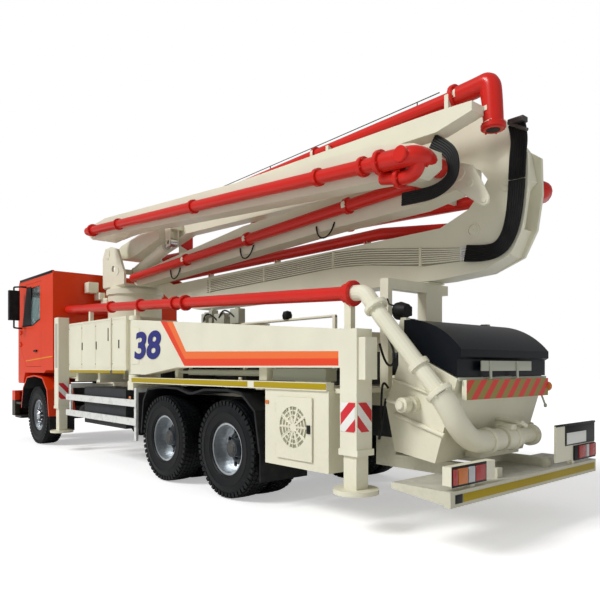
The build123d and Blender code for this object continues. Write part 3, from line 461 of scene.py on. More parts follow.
class Finishes:
    """Every finish of the truck, made on first use."""

    CREAM = Paint("cream_paint", (233, 230, 208))
    ARM = Striped("banded_cream_paint", (233, 230, 208))
    FRAME = Paint("frame_paint", (216, 214, 194), rough=0.42, coat=0.1, dust=0.35)
    ORANGE = Paint("cab_orange", (228, 62, 16), rough=0.3, coat=0.25, dust=0.03)
    BUMPER = Paint("bumper_paint", (228, 62, 16), rough=0.3, coat=0.2, lower=(28, 29, 30), split=770.0)
    BLUE = Paint("number_blue", (44, 48, 122), dust=0.05)
    AMBER_LINE = Paint("amber_line", (238, 150, 30), dust=0.05)
    # Grey of the lid plate, the hopper's rim, the cylinders and the valve blocks; on the front legs it is
    # painted shade of their recessed panels.
    GREY = Paint("recess_grey", (182, 184, 168), dust=0.1)
    RED = Paint("pipe_red", (212, 38, 28), rough=0.28, coat=0.3, dust=0.04)
    YELLOW = Paint("reflective_yellow", (176, 152, 14), rough=0.4, coat=0.0, dust=0.06)
    WHITE = Paint("blank_plate", (234, 235, 230), rough=0.3, dust=0.05)
    BLACK = Rubber("black_plastic", (26, 27, 29), amount=0.15, rough=0.45)
    CHASSIS = Rubber("chassis_grey", (48, 50, 53), amount=0.25, rough=0.5)
    TYRE = Rubber("tyre_rubber", (13, 15, 17), dust=(36, 39, 41), amount=0.35, rough=0.46)
    HOSE = Rubber("hose_rubber", (20, 21, 22), amount=0.1, rough=0.5, grain=300.0)
    LID = Rubber("lid_plastic", (9, 14, 22), dust=(50, 56, 62), amount=0.06, rough=0.3)
    SEAT = Rubber("seat_cloth", (46, 47, 52), amount=0.1, rough=0.85, grain=500.0)
    RIM = Metal("wheel_steel", (206, 212, 216), rough=0.26, metallic=0.85)
    DISC = Metal("wheel_disc", (84, 90, 96), rough=0.42, metallic=0.6)
    ALLOY = Metal("bare_alloy", (232, 234, 230), rough=0.4, metallic=0.3)
    # Olive grey of the cooler's grille mesh; also used for the sheet behind the fan of lines on section 2,
    # which is painted shadow.
    MESH = Paint("grille_mesh", (158, 156, 132), rough=0.6, coat=0.0, dust=0.2)
    LINES = Paint("line_cream", (240, 237, 218), rough=0.3, dust=0.05)
    CHROME = Metal("plated_rod", (214, 216, 218), rough=0.1, amount=0.08)
    STEEL = Metal("dark_steel", (92, 92, 90), rough=0.45, metallic=0.7)
    PANE = Glass("cab_glass", (196, 214, 214), clear=0.9)
    LENS_RED = Glass("red_lens", (200, 22, 20), clear=0.25, rough=0.12, cell=12.0)
    LENS_ORANGE = Glass("amber_lens", (240, 130, 20), clear=0.25, rough=0.12, cell=12.0)
    LENS_CLEAR = Glass("clear_lens", (226, 230, 232), clear=0.3, rough=0.1, cell=12.0)
    BOARD_SIDE = Chevron("side_board", (214, 24, 44), (240, 240, 236), 210.0, flat=Axis.Y)
    BOARD_REAR = Chevron("rear_board", (214, 24, 44), (240, 240, 236), 210.0, flip=True)
    BOARD_BAR = Chevron("hopper_board", (224, 34, 20), (150, 132, 44), 190.0)
    TREAD = Chequer("tread_plate", (206, 204, 192))

    def __init__(self) -> None:
        """Start with no material made."""
        self.made: dict[str, bpy.types.Material] = {}

    def get(self, finish: object) -> bpy.types.Material:
        """The material of a finish, made once."""
        if finish.name not in self.made:
            self.made[finish.name] = finish.make()
        return self.made[finish.name]


class Maker:
    """Builds one piece with bmesh operators, in drawing millimetres."""

    def __init__(self, shop: "Shop") -> None:
        """Start an empty mesh for a shop."""
        self.shop = shop
        self.mesh = bmesh.new()

    def _soften(self, verts: list, width: float, segments: int = 2) -> None:
        """Bevel the edges among verts that turn by more than 30 degrees."""
        wanted = set(verts)
        edges = [
            e for e in self.mesh.edges
            if e.verts[0] in wanted and e.verts[1] in wanted
            and len(e.link_faces) == 2 and e.calc_face_angle(0.0) > 0.5
        ]
        bmesh.ops.bevel(
            self.mesh, geom=edges, offset=width, offset_type="OFFSET", segments=segments, profile=0.5,
            affect="EDGES", clamp_overlap=True, material=-1,
        )

    @staticmethod
    def _faces(verts: list) -> list:
        """Faces on any of verts, each once and always in the same order."""
        return list(dict.fromkeys(f for v in verts for f in v.link_faces))

    @staticmethod
    def _skin(curve: bpy.types.Curve) -> bpy.types.Mesh:
        """Turn a curve into a mesh and drop the curve."""
        holder = bpy.data.objects.new(curve.name, curve)
        mesh = bpy.data.meshes.new_from_object(holder)
        bpy.data.objects.remove(holder)
        bpy.data.curves.remove(curve)
        return mesh

    def _take(self, mesh: bpy.types.Mesh) -> "Maker":
        """Add a mesh to the piece and drop it."""
        self.mesh.from_mesh(mesh)
        bpy.data.meshes.remove(mesh)
        return self

    def block(self, low: Point, high: Point, soft: float = 4.0, turn: Matrix | None = None) -> "Maker":
        """Add a box with softened edges.

        Args:
            low: One corner.
            high: The opposite corner.
            soft: Width of the bevel, 0 for none.
            turn: Rotation about the box's middle.

        Returns:
            This maker.
        """
        verts = bmesh.ops.create_cube(self.mesh, size=1.0)["verts"]
        size = [abs(b - a) for a, b in zip(low, high)]
        middle = Vector([(a + b) / 2 for a, b in zip(low, high)])
        bmesh.ops.scale(self.mesh, vec=size, verts=verts)
        if turn is not None:
            bmesh.ops.rotate(self.mesh, cent=(0, 0, 0), matrix=turn, verts=verts)
        bmesh.ops.translate(self.mesh, vec=middle, verts=verts)
        if soft > 0:
            self._soften(verts, min(soft, min(size) * 0.45))
        return self

    def plate(self, outline: list[Flat], low: float, high: float, axis: Axis = Axis.Y,
              soft: float = 3.0) -> "Maker":
        """Add a flat plate pushed out along an axis.

        Args:
            outline: Its corners on the other two axes.
            low: Start along the axis.
            high: End along the axis.
            axis: Direction of the thickness.
            soft: Width of the bevel, 0 for none.

        Returns:
            This maker.
        """
        def spot(a: float, b: float) -> Point:
            """A corner in three dimensions."""
            if axis is Axis.X:
                return (low, a, b)
            if axis is Axis.Y:
                return (a, low, b)
            return (a, b, low)

        verts = [self.mesh.verts.new(spot(*p)) for p in outline]
        face = self.mesh.faces.new(verts)
        push = [0.0, 0.0, 0.0]
        push[axis.value] = high - low
        out = bmesh.ops.extrude_face_region(self.mesh, geom=[face], use_keep_orig=True)["geom"]
        fresh = [g for g in out if isinstance(g, bmesh.types.BMVert)]
        bmesh.ops.translate(self.mesh, vec=push, verts=fresh)
        whole = verts + fresh
        bmesh.ops.recalc_face_normals(self.mesh, faces=self._faces(whole))
        if soft > 0:
            self._soften(whole, soft, 1)
        return self

    def turned(self, profile: list[Flat], centre: Point, axis: Axis, steps: int = 32) -> "Maker":
        """Spin a profile of (distance along, radius) about an axis.

        Args:
            profile: Its points; a closed ring when the first comes again at the end.
            centre: Where distance 0 lies.
            axis: Axis of the spin.
            steps: Parts of the turn.

        Returns:
            This maker.
        """
        closed = profile[0] == profile[-1]
        points = profile[:-1] if closed else profile
        verts = []
        for reach, radius in points:
            spot = [0.0, 0.0, 0.0]
            spot[axis.value] = reach
            spot[(axis.value + 1) % 3] = radius
            verts.append(self.mesh.verts.new(spot))
        pairs = list(zip(verts, verts[1:])) + ([(verts[-1], verts[0])] if closed else [])
        edges = [self.mesh.edges.new(p) for p in pairs]
        way = [0.0, 0.0, 0.0]
        way[axis.value] = 1.0
        bmesh.ops.spin(
            self.mesh, geom=verts + edges, cent=(0, 0, 0), axis=way, angle=2 * math.pi, steps=steps,
            use_merge=True, use_duplicate=False,
        )
        reached = list(verts)
        known = set(verts)
        for here in reached:
            for edge in here.link_edges:
                other = edge.other_vert(here)
                if other not in known:
                    known.add(other)
                    reached.append(other)
        bmesh.ops.remove_doubles(self.mesh, verts=reached, dist=0.01)
        reached = [v for v in reached if v.is_valid]
        bmesh.ops.translate(self.mesh, vec=centre, verts=reached)
        bmesh.ops.recalc_face_normals(self.mesh, faces=self._faces(reached))
        return self

    def disc(self, centre: Point, axis: Axis, radius: float, length: float, soft: float = 3.0,
             sides: int = 24) -> "Maker":
        """Add a short round bar centred on a point."""
        half = length / 2
        edge = min(soft, radius * 0.4, half * 0.8)
        profile = [(-half, 0.0), (-half, radius - edge), (edge - half, radius),
                   (half - edge, radius), (half, radius - edge), (half, 0.0)]
        return self.turned(profile, centre, axis, sides)

    def ring(self, centre: Point, axis: Axis, outer: float, inner: float, length: float, soft: float = 3.0,
             sides: int = 32) -> "Maker":
        """Add a ring centred on a point."""
        half = length / 2
        edge = min(soft, (outer - inner) * 0.3, half * 0.8)
        profile = [(-half, inner), (-half, outer - edge), (edge - half, outer), (half - edge, outer),
                   (half, outer - edge), (half, inner), (-half, inner)]
        return self.turned(profile, centre, axis, sides)

    def aimed(self, start: Point, end: Point, profile: list[Flat], steps: int = 24) -> "Maker":
        """Spin a profile about the line from start to end.

        Args:
            start: Where distance 0 lies.
            end: A further point on the axis.
            profile: Points of (distance along, radius).
            steps: Parts of the turn.

        Returns:
            This maker.
        """
        before = set(self.mesh.verts)
        self.turned(profile, (0, 0, 0), Axis.Z, steps)
        fresh = [v for v in self.mesh.verts if v not in before]
        way = (Vector(end) - Vector(start)).normalized()
        turn = way.to_track_quat("Z", "Y").to_matrix()
        bmesh.ops.rotate(self.mesh, cent=(0, 0, 0), matrix=turn, verts=fresh)
        bmesh.ops.translate(self.mesh, vec=start, verts=fresh)
        return self

    def bar(self, start: Point, end: Point, radius: float, steps: int = 16) -> "Maker":
        """Add a round bar from start to end."""
        length = (Vector(end) - Vector(start)).length
        edge = min(2.0, radius * 0.3)
        profile = [(0, 0), (0, radius - edge), (edge, radius), (length - edge, radius),
                   (length, radius - edge), (length, 0)]
        return self.aimed(start, end, profile, steps)

    def line(self, points: list[Point], radius: float, sides: int = 10, bends: int = 5) -> "Maker":
        """Add a bent tube whose centre follows a smooth curve through its stretches.

        Args:
            points: Control points of the curve.
            radius: Outer radius.
            sides: Sides of its section.
            bends: Steps between two points.

        Returns:
            This maker.
        """
        curve = bpy.data.curves.new("line", "CURVE")
        curve.dimensions = "3D"
        curve.bevel_depth = radius
        curve.bevel_resolution = max(0, sides // 2 - 2)
        curve.use_fill_caps = True
        spline = curve.splines.new("NURBS")
        spline.points.add(len(points) - 1)
        for spot, point in zip(spline.points, points):
            spot.co = (*point, 1.0)
        spline.order_u = 3
        spline.use_endpoint_u = True
        spline.resolution_u = bends
        return self._take(self._skin(curve))

    def bundle(self, points: list[Point], radius: float, count: int, pitch: float) -> "Maker":
        """Add parallel hoses that lie side by side in their upright plane.

        Args:
            points: Control points of the middle hose.
            radius: Radius of each hose.
            count: How many lie side by side.
            pitch: Distance between two of them.

        Returns:
            This maker.
        """
        last = len(points) - 1
        normals = []
        for i in range(last + 1):
            back, ahead = points[max(i - 1, 0)], points[min(i + 1, last)]
            along = Vector((ahead[0] - back[0], ahead[2] - back[2])).normalized()
            normals.append((-along.y, 0.0, along.x))
        for k in range(count):
            shift = (k - (count - 1) / 2) * pitch
            path = [tuple(p[i] + n[i] * shift for i in range(3)) for p, n in zip(points, normals)]
            self.line(path, radius, 8, 6)
        return self

    def number(self, text: str, middle: Point, size: Flat, side: Side, thick: float = 3.0) -> "Maker":
        """Add a plain number that reads from one side of the truck.

        Args:
            text: Its digits.
            middle: Centre of the digits on their panel.
            size: Width and height of the whole number.
            side: Side from which it reads.
            thick: How far it stands out.

        Returns:
            This maker.
        """
        curve = bpy.data.curves.new("number", "FONT")
        curve.body = text
        curve.extrude = 0.5
        curve.offset = 0.035
        mesh = self._skin(curve)
        low = [min(v.co[k] for v in mesh.vertices) for k in range(3)]
        high = [max(v.co[k] for v in mesh.vertices) for k in range(3)]
        scale = (size[0] / (high[0] - low[0]), size[1] / (high[1] - low[1]), thick / (high[2] - low[2]))
        for vert in mesh.vertices:
            across, up, out = ((vert.co[k] - (low[k] + high[k]) / 2) * scale[k] for k in range(3))
            turned = (-side.value * (across + 0.16 * up), side.value * out, up)
            vert.co = tuple(a + b for a, b in zip(middle, turned))
        return self._take(mesh)

    def done(self, name: str, finish: object, body: str, slot: str = "", smooth: bool = True,
             replaces: tuple[str, ...] = ()) -> bpy.types.Object:
        """Turn the mesh into a piece of the shared frame.

        Args:
            name: The piece's name.
            finish: Its finish.
            body: The body it rides on.
            slot: Not used.
            smooth: True to shade it smooth by angle.
            replaces: CAD nodes that it stands for.

        Returns:
            The new object.
        """
        bmesh.ops.scale(self.mesh, vec=(MM, MM, MM), verts=self.mesh.verts)
        bmesh.ops.translate(self.mesh, vec=(-MID_X * MM, 0, 0), verts=self.mesh.verts)
        data = bpy.data.meshes.new(name)
        self.mesh.to_mesh(data)
        self.mesh.free()
        piece = bpy.data.objects.new(name, data)
        bpy.context.scene.collection.objects.link(piece)
        data.materials.append(self.shop.finishes.get(finish))
        if smooth:
            data.shade_smooth()
            bpy.context.view_layer.objects.active = piece
            data.set_sharp_from_angle(angle=SHARP)
        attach(piece, body)
        if replaces:
            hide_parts(*replaces)
        LOG.info("piece %s on %s, %d faces", name, body, len(data.polygons))
        return piece


class Shop:
    """What every sub-assembly shares: the frame and the finishes."""

    def __init__(self, frame: dict) -> None:
        """Keep the loaded frame."""
        self.frame = frame
        self.finishes = Finishes()

    def maker(self) -> Maker:
        """A new empty piece."""
        return Maker(self)

    def dress(self, finish: object, *nodes: str) -> None:
        """Give CAD nodes one finish.

        Args:
            finish: The finish.
            nodes: The nodes' names.
        """
        for name in nodes:
            mesh = self.frame["nodes"][name].data
            mesh.materials.clear()
            mesh.materials.append(self.finishes.get(finish))

    def dress_part(self, node: str, finish: object, low: Point, high: Point, away: Flat | None = None,
                   reach: float = 0.0) -> None:
        """Give the faces of a node inside a box another finish.

        Args:
            node: The node's name.
            finish: The finish of those faces.
            low: Lowest corner of the box.
            high: Highest corner of the box.
            away: X and Z of an axle that the faces have to look away from.
            reach: Radius about that axle inside which faces count instead, if above zero.
        """
        mesh = self.frame["nodes"][node].data
        mesh.materials.append(self.finishes.get(finish))
        index = len(mesh.materials) - 1
        bottom, top = row(low), row(high)
        hub = row((away[0], 0.0, away[1])) if away else None
        for face in mesh.polygons:
            inside = all(bottom[k] <= face.center[k] <= top[k] for k in range(3))
            if inside and hub is not None:
                arm = face.center - hub
                if reach > 0.0:
                    inside = math.hypot(arm.x, arm.z) < reach * MM
                else:
                    outward = face.normal.x * arm.x + face.normal.z * arm.z > 0.02
                    inside = outward or abs(face.normal.y) > 0.5
            if inside:
                face.material_index = index


@dataclass
class Tyre:
    """A radial truck tyre with ribs and cross grooves."""

    radius: float = 538.0
    half: float = 156.0
    bead: float = 286.0
    shoulder: int = 48
    steps: int = 72
    lugs: int = 60
    ribs: tuple[tuple[float, float], ...] = ((-118, -74), (-66, -26), (-18, 18), (26, 66), (74, 118))

    def profile(self) -> list[Flat]:
        """Closed section, as distance along the axle and radius."""
        r, h, b = self.radius, self.half, self.bead
        half_side = [
            (h - 44, b + 1), (h - 26, b + 2), (h - 18, b + 14), (h - 14, b + 22), (h - 9, b + 24),
            (h - 10, b + 32), (h - 8, b + 60), (h - 1, b + 112), (h + 3, b + 114), (h + 3, b + 124),
            (h - 1, b + 126), (h - 4, b + 165),
            (h - 16, r - 52), (h - 22, r - 40), (h - 30, r - 16), (h - 44, r - 13),
        ]
        ring = [(-y, z) for y, z in half_side] + half_side[::-1]
        return ring + [ring[0]]

    def add(self, maker: Maker, centre: Point) -> None:
        """Add the tyre at a centre.

        Args:
            maker: The piece that holds it.
            centre: Middle of the wheel.
        """
        maker.turned(self.profile(), centre, Axis.Y, self.steps)
        pitch = 2 * math.pi / self.lugs
        for low, high in self.ribs:
            middle = abs(low + high) / 2
            length = self.radius * pitch * (0.97 if middle < 30 else 0.86)
            shift = 0.25 if middle > 60 else 0.0
            crown = self.radius - 0.00035 * middle * middle
            for k in range(self.lugs):
                angle = (k + shift) * pitch
                skew = Matrix.Rotation(angle, 3, "Y") @ Matrix.Rotation(0.12 if low > 0 else -0.12, 3, "Z")
                spot = Matrix.Rotation(angle, 3, "Y") @ Vector((0, (low + high) / 2, crown - 9))
                spot += Vector(centre)
                half = Vector((length / 2, (high - low) / 2, 9))
                maker.block(tuple(spot - half), tuple(spot + half), 0.0, skew)
        step = math.tau / self.shoulder
        for k in range(self.shoulder):
            for side in (1, -1):
                skew = Matrix.Rotation((k + 0.25 * side) * step, 3, "Y")
                spot = skew @ Vector((0, side * (self.half - 19), self.radius - 36)) + Vector(centre)
                half = Vector((self.radius * step * 0.31, 13, 25))
                maker.block(tuple(spot - half), tuple(spot + half), 0.0, skew)


@dataclass
class Wheels:
    """Ten tyres and the nuts of their rims."""

    shop: Shop
    front_x: float = 6150.0
    mid_x: float = 1350.0
    front_y: float = 1030.0
    outer_y: float = 1084.0
    inner_y: float = 739.0
    z: float = 538.0
    tyre: Tyre = field(default_factory=Tyre)
    nut_ring: float = 128.0

    def build(self) -> None:
        """Make tyres and nuts for six wheel bodies."""
        self.shop.dress(Finishes.RIM, *[n for n in self.shop.frame["nodes"] if n.startswith("rim")])
        for side in Side:
            name = side.name.lower()
            rows = (
                ("front", self.front_x, (self.front_y,), f"wheel_front_{name}", f"tyre_front_{name}"),
                ("mid", self.mid_x, (self.outer_y, self.inner_y), f"wheels_mid_{name}", f"tyres_mid_{name}"),
                ("rear", 0.0, (self.outer_y, self.inner_y), f"wheels_rear_{name}", f"tyres_rear_{name}"),
            )
            for axle, x, places, body, node in rows:
                piece = self.shop.maker()
                for y in places:
                    self.tyre.add(piece, (x, side.value * y, self.z))
                piece.done(f"tread_{axle}_{name}", Finishes.TYRE, body, replaces=(node,))
                rim = f"rim_{axle}_{name}" if axle == "front" else f"rims_{axle}_{name}"
                self.shop.dress_part(rim, Finishes.DISC, (x - 300, -1300, 200), (x + 300, 1300, 900),
                                     away=(x, self.z), reach=196.0)
                self.nuts(axle, x, side, places[0], body)

    def nuts(self, axle: str, x: float, side: Side, y: float, body: str) -> None:
        """Add the nuts and the hub cap of one wheel.

        Args:
            axle: Name of the axle.
            x: Its place.
            side: Side of the truck.
            y: Middle of the outer tyre.
            body: The wheel's body.
        """
        piece = self.shop.maker()
        face = y + (58 + 32 if axle == "front" else -62 + 22)
        for c, s in around(10):
            nut_x, nut_z = x + self.nut_ring * c, self.z + self.nut_ring * s
            piece.disc((nut_x, side.value * (face + 12), nut_z), Axis.Y, 17, 26, 3, 6)
            piece.disc((nut_x, side.value * (face + 28), nut_z), Axis.Y, 10, 14, 3, 8)
        end = y + (128 if axle == "front" else 60)
        piece.disc((x, side.value * (end + 3), self.z), Axis.Y, 80, 12, 5, 32)
        piece.disc((x, side.value * (end + 11), self.z), Axis.Y, 56, 12, 5, 32)
        for c, s in around(8, 0.5):
            piece.disc((x + 68 * c, side.value * (end + 11), self.z + 68 * s), Axis.Y, 6, 8, 2, 6)
        finish = Finishes.CHROME if axle == "front" else Finishes.STEEL
        piece.done(f"wheel_nuts_{axle}_{side.name.lower()}", finish, body)


@dataclass
class Bodywork:
    """Finishes of the CAD nodes."""

    shop: Shop

    def build(self) -> None:
        """Dress every node, then the parts of nodes that differ."""
        coats = (
            (Finishes.CREAM, "turret boom_1 boom_2 boom_3 boom_4 boom_5 lift_barrel lockers subframe"),
            (Finishes.CREAM, "cooler_box cooler_door hopper_tub boom_rest beam_sleeves rear_lamps"),
            (Finishes.CREAM, "front_beam_left front_beam_right front_jack_left front_jack_right"),
            (Finishes.CREAM, "rear_jack_left rear_jack_right"),
            (Finishes.ARM, "rear_arm_left rear_arm_right"),
            (Finishes.FRAME, "rear_platform"),
            (Finishes.CHASSIS, "frame_rails axles engine tanks knuckle_left knuckle_right pump"),
            (Finishes.ALLOY, "side_guards"),
            (Finishes.CHROME, "lift_rod"),
            (Finishes.ORANGE, "cab_shell door_left door_right"),
            (Finishes.BUMPER, "front_bumper"),
            (Finishes.BLACK, "mirror_left mirror_right sun_visor wings"),
            (Finishes.SEAT, "cab_inside"),
            (Finishes.PANE, "windscreen door_glass_left door_glass_right"),
            (Finishes.LID, "hopper_lid"),
            (Finishes.STEEL, "agitator"),
            (Finishes.RED, "delivery_pipe"),
        )
        for finish, names in coats:
            self.shop.dress(finish, *names.split())
        self.fittings()
        self.lines()
        nodes = self.shop.frame["nodes"]
        LOG.info("nodes without a finish: %s", [n for n in nodes if not nodes[n].data.materials])

    def fittings(self) -> None:
        """Dress the parts of the truck's own nodes that differ."""
        for low, high in ((-1300, -700), (700, 1300)):
            self.shop.dress_part("wings", Finishes.ORANGE, (5370, low, 560), (6930, high, 1300),
                                 away=(6150.0, 538.0))
        patches = (
            ("door_left", Finishes.BLACK, (5990, -1290, 1700), (6160, 1290, 1770)),
            ("door_right", Finishes.BLACK, (5990, -1290, 1700), (6160, 1290, 1770)),
            ("cooler_box", Finishes.CHASSIS, (-1590, 880, 495), (-710, 975, 1205)),
            ("rear_platform", Finishes.TREAD, (-2880, -1300, 519), (-2320, 1300, 521)),
            ("rear_platform", Finishes.BOARD_BAR, (-2662, -720, 1160), (-2658, 720, 1335)),
            ("rear_platform", Finishes.CREAM, (-2657, -720, 1160), (-2610, 720, 1335)),
            ("front_bumper", Finishes.LENS_CLEAR, (7570, -1010, 625), (7592, -690, 785)),
            ("front_bumper", Finishes.LENS_CLEAR, (7570, 690, 625), (7592, 1010, 785)),
        )
        for patch in patches:
            self.shop.dress_part(*patch)

    def lines(self) -> None:
        """Dress the concrete line: cream at the hopper and in its clips, red on the booms."""
        patches = (
            ("delivery_pipe", Finishes.CREAM, (-2900, -700, 0), (-1700, 1400, 2300)),
            ("delivery_pipe", Finishes.CREAM, (2440, 970, 2100), (2560, 1050, 2220)),
            ("delivery_pipe", Finishes.CREAM, (4040, 970, 2100), (4160, 1050, 2300)),
            ("delivery_pipe", Finishes.CREAM, (-1700, 970, 1200), (-1600, 1050, 2030)),
            ("turret", Finishes.RED, (3000, -FAR, 2000), (FAR, -425, FAR)),
            ("boom_1", Finishes.RED, (-FAR, -FAR, 0), (FAR, -400, FAR)),
            ("boom_2", Finishes.RED, (-FAR, -FAR, 0), (FAR, -335, FAR)),
            ("boom_2", Finishes.RED, (-1500, -334, 2850), (3900, -60, 3100)),
            ("boom_3", Finishes.RED, (-FAR, 275, 0), (FAR, 420, FAR)),
            ("boom_3", Finishes.RED, (-2400, 475, 0), (-2000, 600, FAR)),
            ("boom_4", Finishes.RED, (-FAR, 885, 0), (FAR, FAR, FAR)),
            ("boom_4", Finishes.RED, (-2500, 500, 0), (-1900, 620, FAR)),
            ("boom_5", Finishes.RED, (-FAR, 0, 0), (FAR, 415, FAR)),
            ("boom_5", Finishes.RED, (-2750, 300, 3700), (4200, 428, FAR)),
        )
        for patch in patches:
            self.shop.dress_part(*patch)


@dataclass
class Signs:
    """Stripes, warning boards and blank plates, each a thin sheet on its panel."""

    shop: Shop
    flank: float = 1250.0
    tail: float = -2878.0

    def build(self) -> None:
        """Make the boards and plates."""
        for side in Side:
            self.rear_leg(side)
            self.strips(side)
            self.front_leg(side)
            self.number_panel(side)
            self.gap_shade_and_fittings(side)
        self.rear()

    def rear_leg(self, side: Side) -> None:
        """Add the boards beside and behind a rear leg.

        Args:
            side: Side of the truck.
        """
        s, name = side.value, side.name.lower()
        board = self.shop.maker()
        board.block((-1940, s * 1252, 880), (-1772, s * 1255, 1132), 1.0)
        board.done(f"board_side_{name}", Finishes.BOARD_SIDE, f"rear_arm_{name}")
        back = self.shop.maker()
        back.block((-1959, s * 1062, 880), (-1956, s * 1238, 1132), 1.0)
        back.done(f"board_back_{name}", Finishes.BOARD_REAR, f"rear_arm_{name}")

    def strips(self, side: Side) -> None:
        """Add the yellow strips below the lockers and the deck.

        Args:
            side: Side of the truck.
        """
        s, name = side.value, side.name.lower()
        strip = self.shop.maker()
        for x0, x1, z0, z1 in ((2860, 4380, 1345, 1382), (2380, 2790, 1345, 1382),
                               (-430, 2180, 1232, 1288), (-1588, -540, 1232, 1288)):
            strip.block((x0, s * (self.flank + 0.5), z0), (x1, s * (self.flank + 3), z1), 0.5)
        strip.done(f"yellow_strips_{name}", Finishes.YELLOW, "chassis")

    def gap_shade_and_fittings(self, side: Side) -> None:
        """Add a black strip as painted shade in the gap between the lockers, and their handles and bolts.

        Args:
            side: Side of the truck.
        """
        s, name = side.value, side.name.lower()
        gap_shade_and_fittings = self.shop.maker()
        # Painted shade: this black strip stands for the dark gap between two locker doors.
        gap_shade_and_fittings.block((2912, s * 1244, 1814), (2944, s * 1252, 2004), 2.0)
        for x in (2560, 3330, 3860):
            gap_shade_and_fittings.block((x, s * 1244, 1700), (x + 26, s * 1258, 1820), 6.0)
        for x in (2790, 3370, 3895, 4415):
            for z in (1480, 2050):
                gap_shade_and_fittings.disc((x, s * 1247, z), Axis.Y, 9, 12, 3, 10)
        gap_shade_and_fittings.done(f"locker_slots_{name}", Finishes.BLACK, "chassis")

    def front_leg(self, side: Side) -> None:
        """Add a grey strip as painted shade of the leg's recessed panel, and the board of a front leg.

        Args:
            side: Side of the truck.
        """
        s, name = side.value, side.name.lower()
        x0 = 4916 if side is Side.LEFT else 4716
        panel = self.shop.maker()
        # Painted shade: this flat grey strip stands for the shade inside the leg's recessed panel.
        panel.block((x0 + 42, s * 1244, 1420), (x0 + 146, s * 1247.5, 2180), 2.0)
        panel.done(f"leg_panel_{name}", Finishes.GREY, f"front_beam_{name}")
        board = self.shop.maker()
        board.block((x0 - 4, s * 1072, 885), (x0 - 1, s * 1240, 1160), 1.0)
        board.done(f"leg_board_{name}", Finishes.BOARD_REAR, f"front_beam_{name}")

    def number_panel(self, side: Side) -> None:
        """Add the raised panel of an arm with its plain number.

        Args:
            side: Side of the truck.
        """
        s, name = side.value, side.name.lower()
        panel = self.shop.maker()
        panel.plate([(2160, 1470), (1960, 1475), (1960, 1960), (2160, 1980)], s * self.flank, s * 1256)
        panel.done(f"number_panel_{name}", Finishes.CREAM, f"rear_arm_{name}")
        digits = self.shop.maker()
        digits.number("38", (1720, s * 1256, 1720), (690, 368), side)
        digits.done(f"number_{name}", Finishes.BLUE, f"rear_arm_{name}", smooth=False)

    def rear(self) -> None:
        """Add the bumper's strip, the lenses and the blank plate."""
        strip = self.shop.maker()
        strip.block((self.tail - 3, -1216, 428), (self.tail, 1087, 490), 0.5)
        strip.done("yellow_strip_rear", Finishes.YELLOW, "chassis")
        square = self.shop.maker()
        square.block((self.tail - 3, 1096, 426), (self.tail, 1190, 492), 0.5)
        square.block((self.tail - 4, 770, 548), (self.tail, 1236, 704), 2.0)
        square.block((-2884, -1236, 548), (-2866, -770, 690), 4.0)
        square.block((-2874, -1236, 700), (-2866, -600, 888), 4.0)
        square.block((-2880, -1240, 886), (-2850, -420, 904), 4.0)
        square.done("lamp_cases", Finishes.BLACK, "chassis")
        lenses = (
            ("red", Finishes.LENS_RED, ((1175, 1225), (795, 935), (-1225, -1075), (-1000, -850))),
            ("amber", Finishes.LENS_ORANGE, ((1040, 1168),)),
            ("clear", Finishes.LENS_CLEAR, ((945, 1030), (-1068, -1008))),
        )
        for name, finish, spans in lenses:
            lens = self.shop.maker()
            for low, high in spans:
                lens.block((-2894, low, 566), (-2880, high, 686), 5.0)
            lens.done(f"lenses_{name}", finish, "chassis")
        plate = self.shop.maker()
        plate.block((-2879, -1031, 713), (-2873, -622, 820), 1.5)
        plate.done("blank_plate", Finishes.WHITE, "chassis")


@dataclass
class CabTrim:
    """Black pillars, roof edge and the line of the cab."""

    shop: Shop
    half: float = 1235.0

    def build(self) -> None:
        """Make the trim of both sides."""
        for side in Side:
            self.side(side)
        # A near-black band along the roof's side edges and across its front.
        roof = self.shop.maker()
        for s in (1, -1):
            roof.block((5230, s * (self.half - 40), 3085), (6990, s * (self.half + 10), 3136), 12.0)
        roof.block((6960, -1190, 3085), (7020, 1190, 3136), 12.0)
        roof.done("roof_edge", Finishes.LID, "cab")
        wiper = self.shop.maker()
        for y in (-520, 180):
            wiper.bar((7420, y, 2215), (7290, y + 420, 2600), 9)
            wiper.disc((7412, y, 2200), Axis.X, 22, 40)
        wiper.done("wipers", Finishes.BLACK, "cab")

    def side(self, side: Side) -> None:
        """Make the trim of one side.

        Args:
            side: Side of the truck.
        """
        s, name = side.value, side.name.lower()
        out = s * (self.half + 5)
        flush = s * (self.half - 1)
        pillar = self.shop.maker()
        pillar.plate([(6330, 2215), (6850, 2215), (6585, 2955), (6330, 2955)], flush, out)
        sill = [(5850, 2300), (6260, 2205), (6850, 2205), (6850, 2232), (6265, 2232), (5862, 2328)]
        pillar.plate(sill, flush, out)
        pillar.done(f"pillar_{name}", Finishes.BLACK, f"door_{name}")
        line = self.shop.maker()
        line.plate([(5812, 1582), (6640, 1541), (6640, 1560), (5812, 1602)], flush, out, soft=1.0)
        line.done(f"amber_line_door_{name}", Finishes.AMBER_LINE, f"door_{name}")
        rest = self.shop.maker()
        rest.plate([(5215, 1612), (5795, 1583), (5795, 1603), (5215, 1632)], flush, out, soft=1.0)
        rest.done(f"amber_line_cab_{name}", Finishes.AMBER_LINE, "cab")


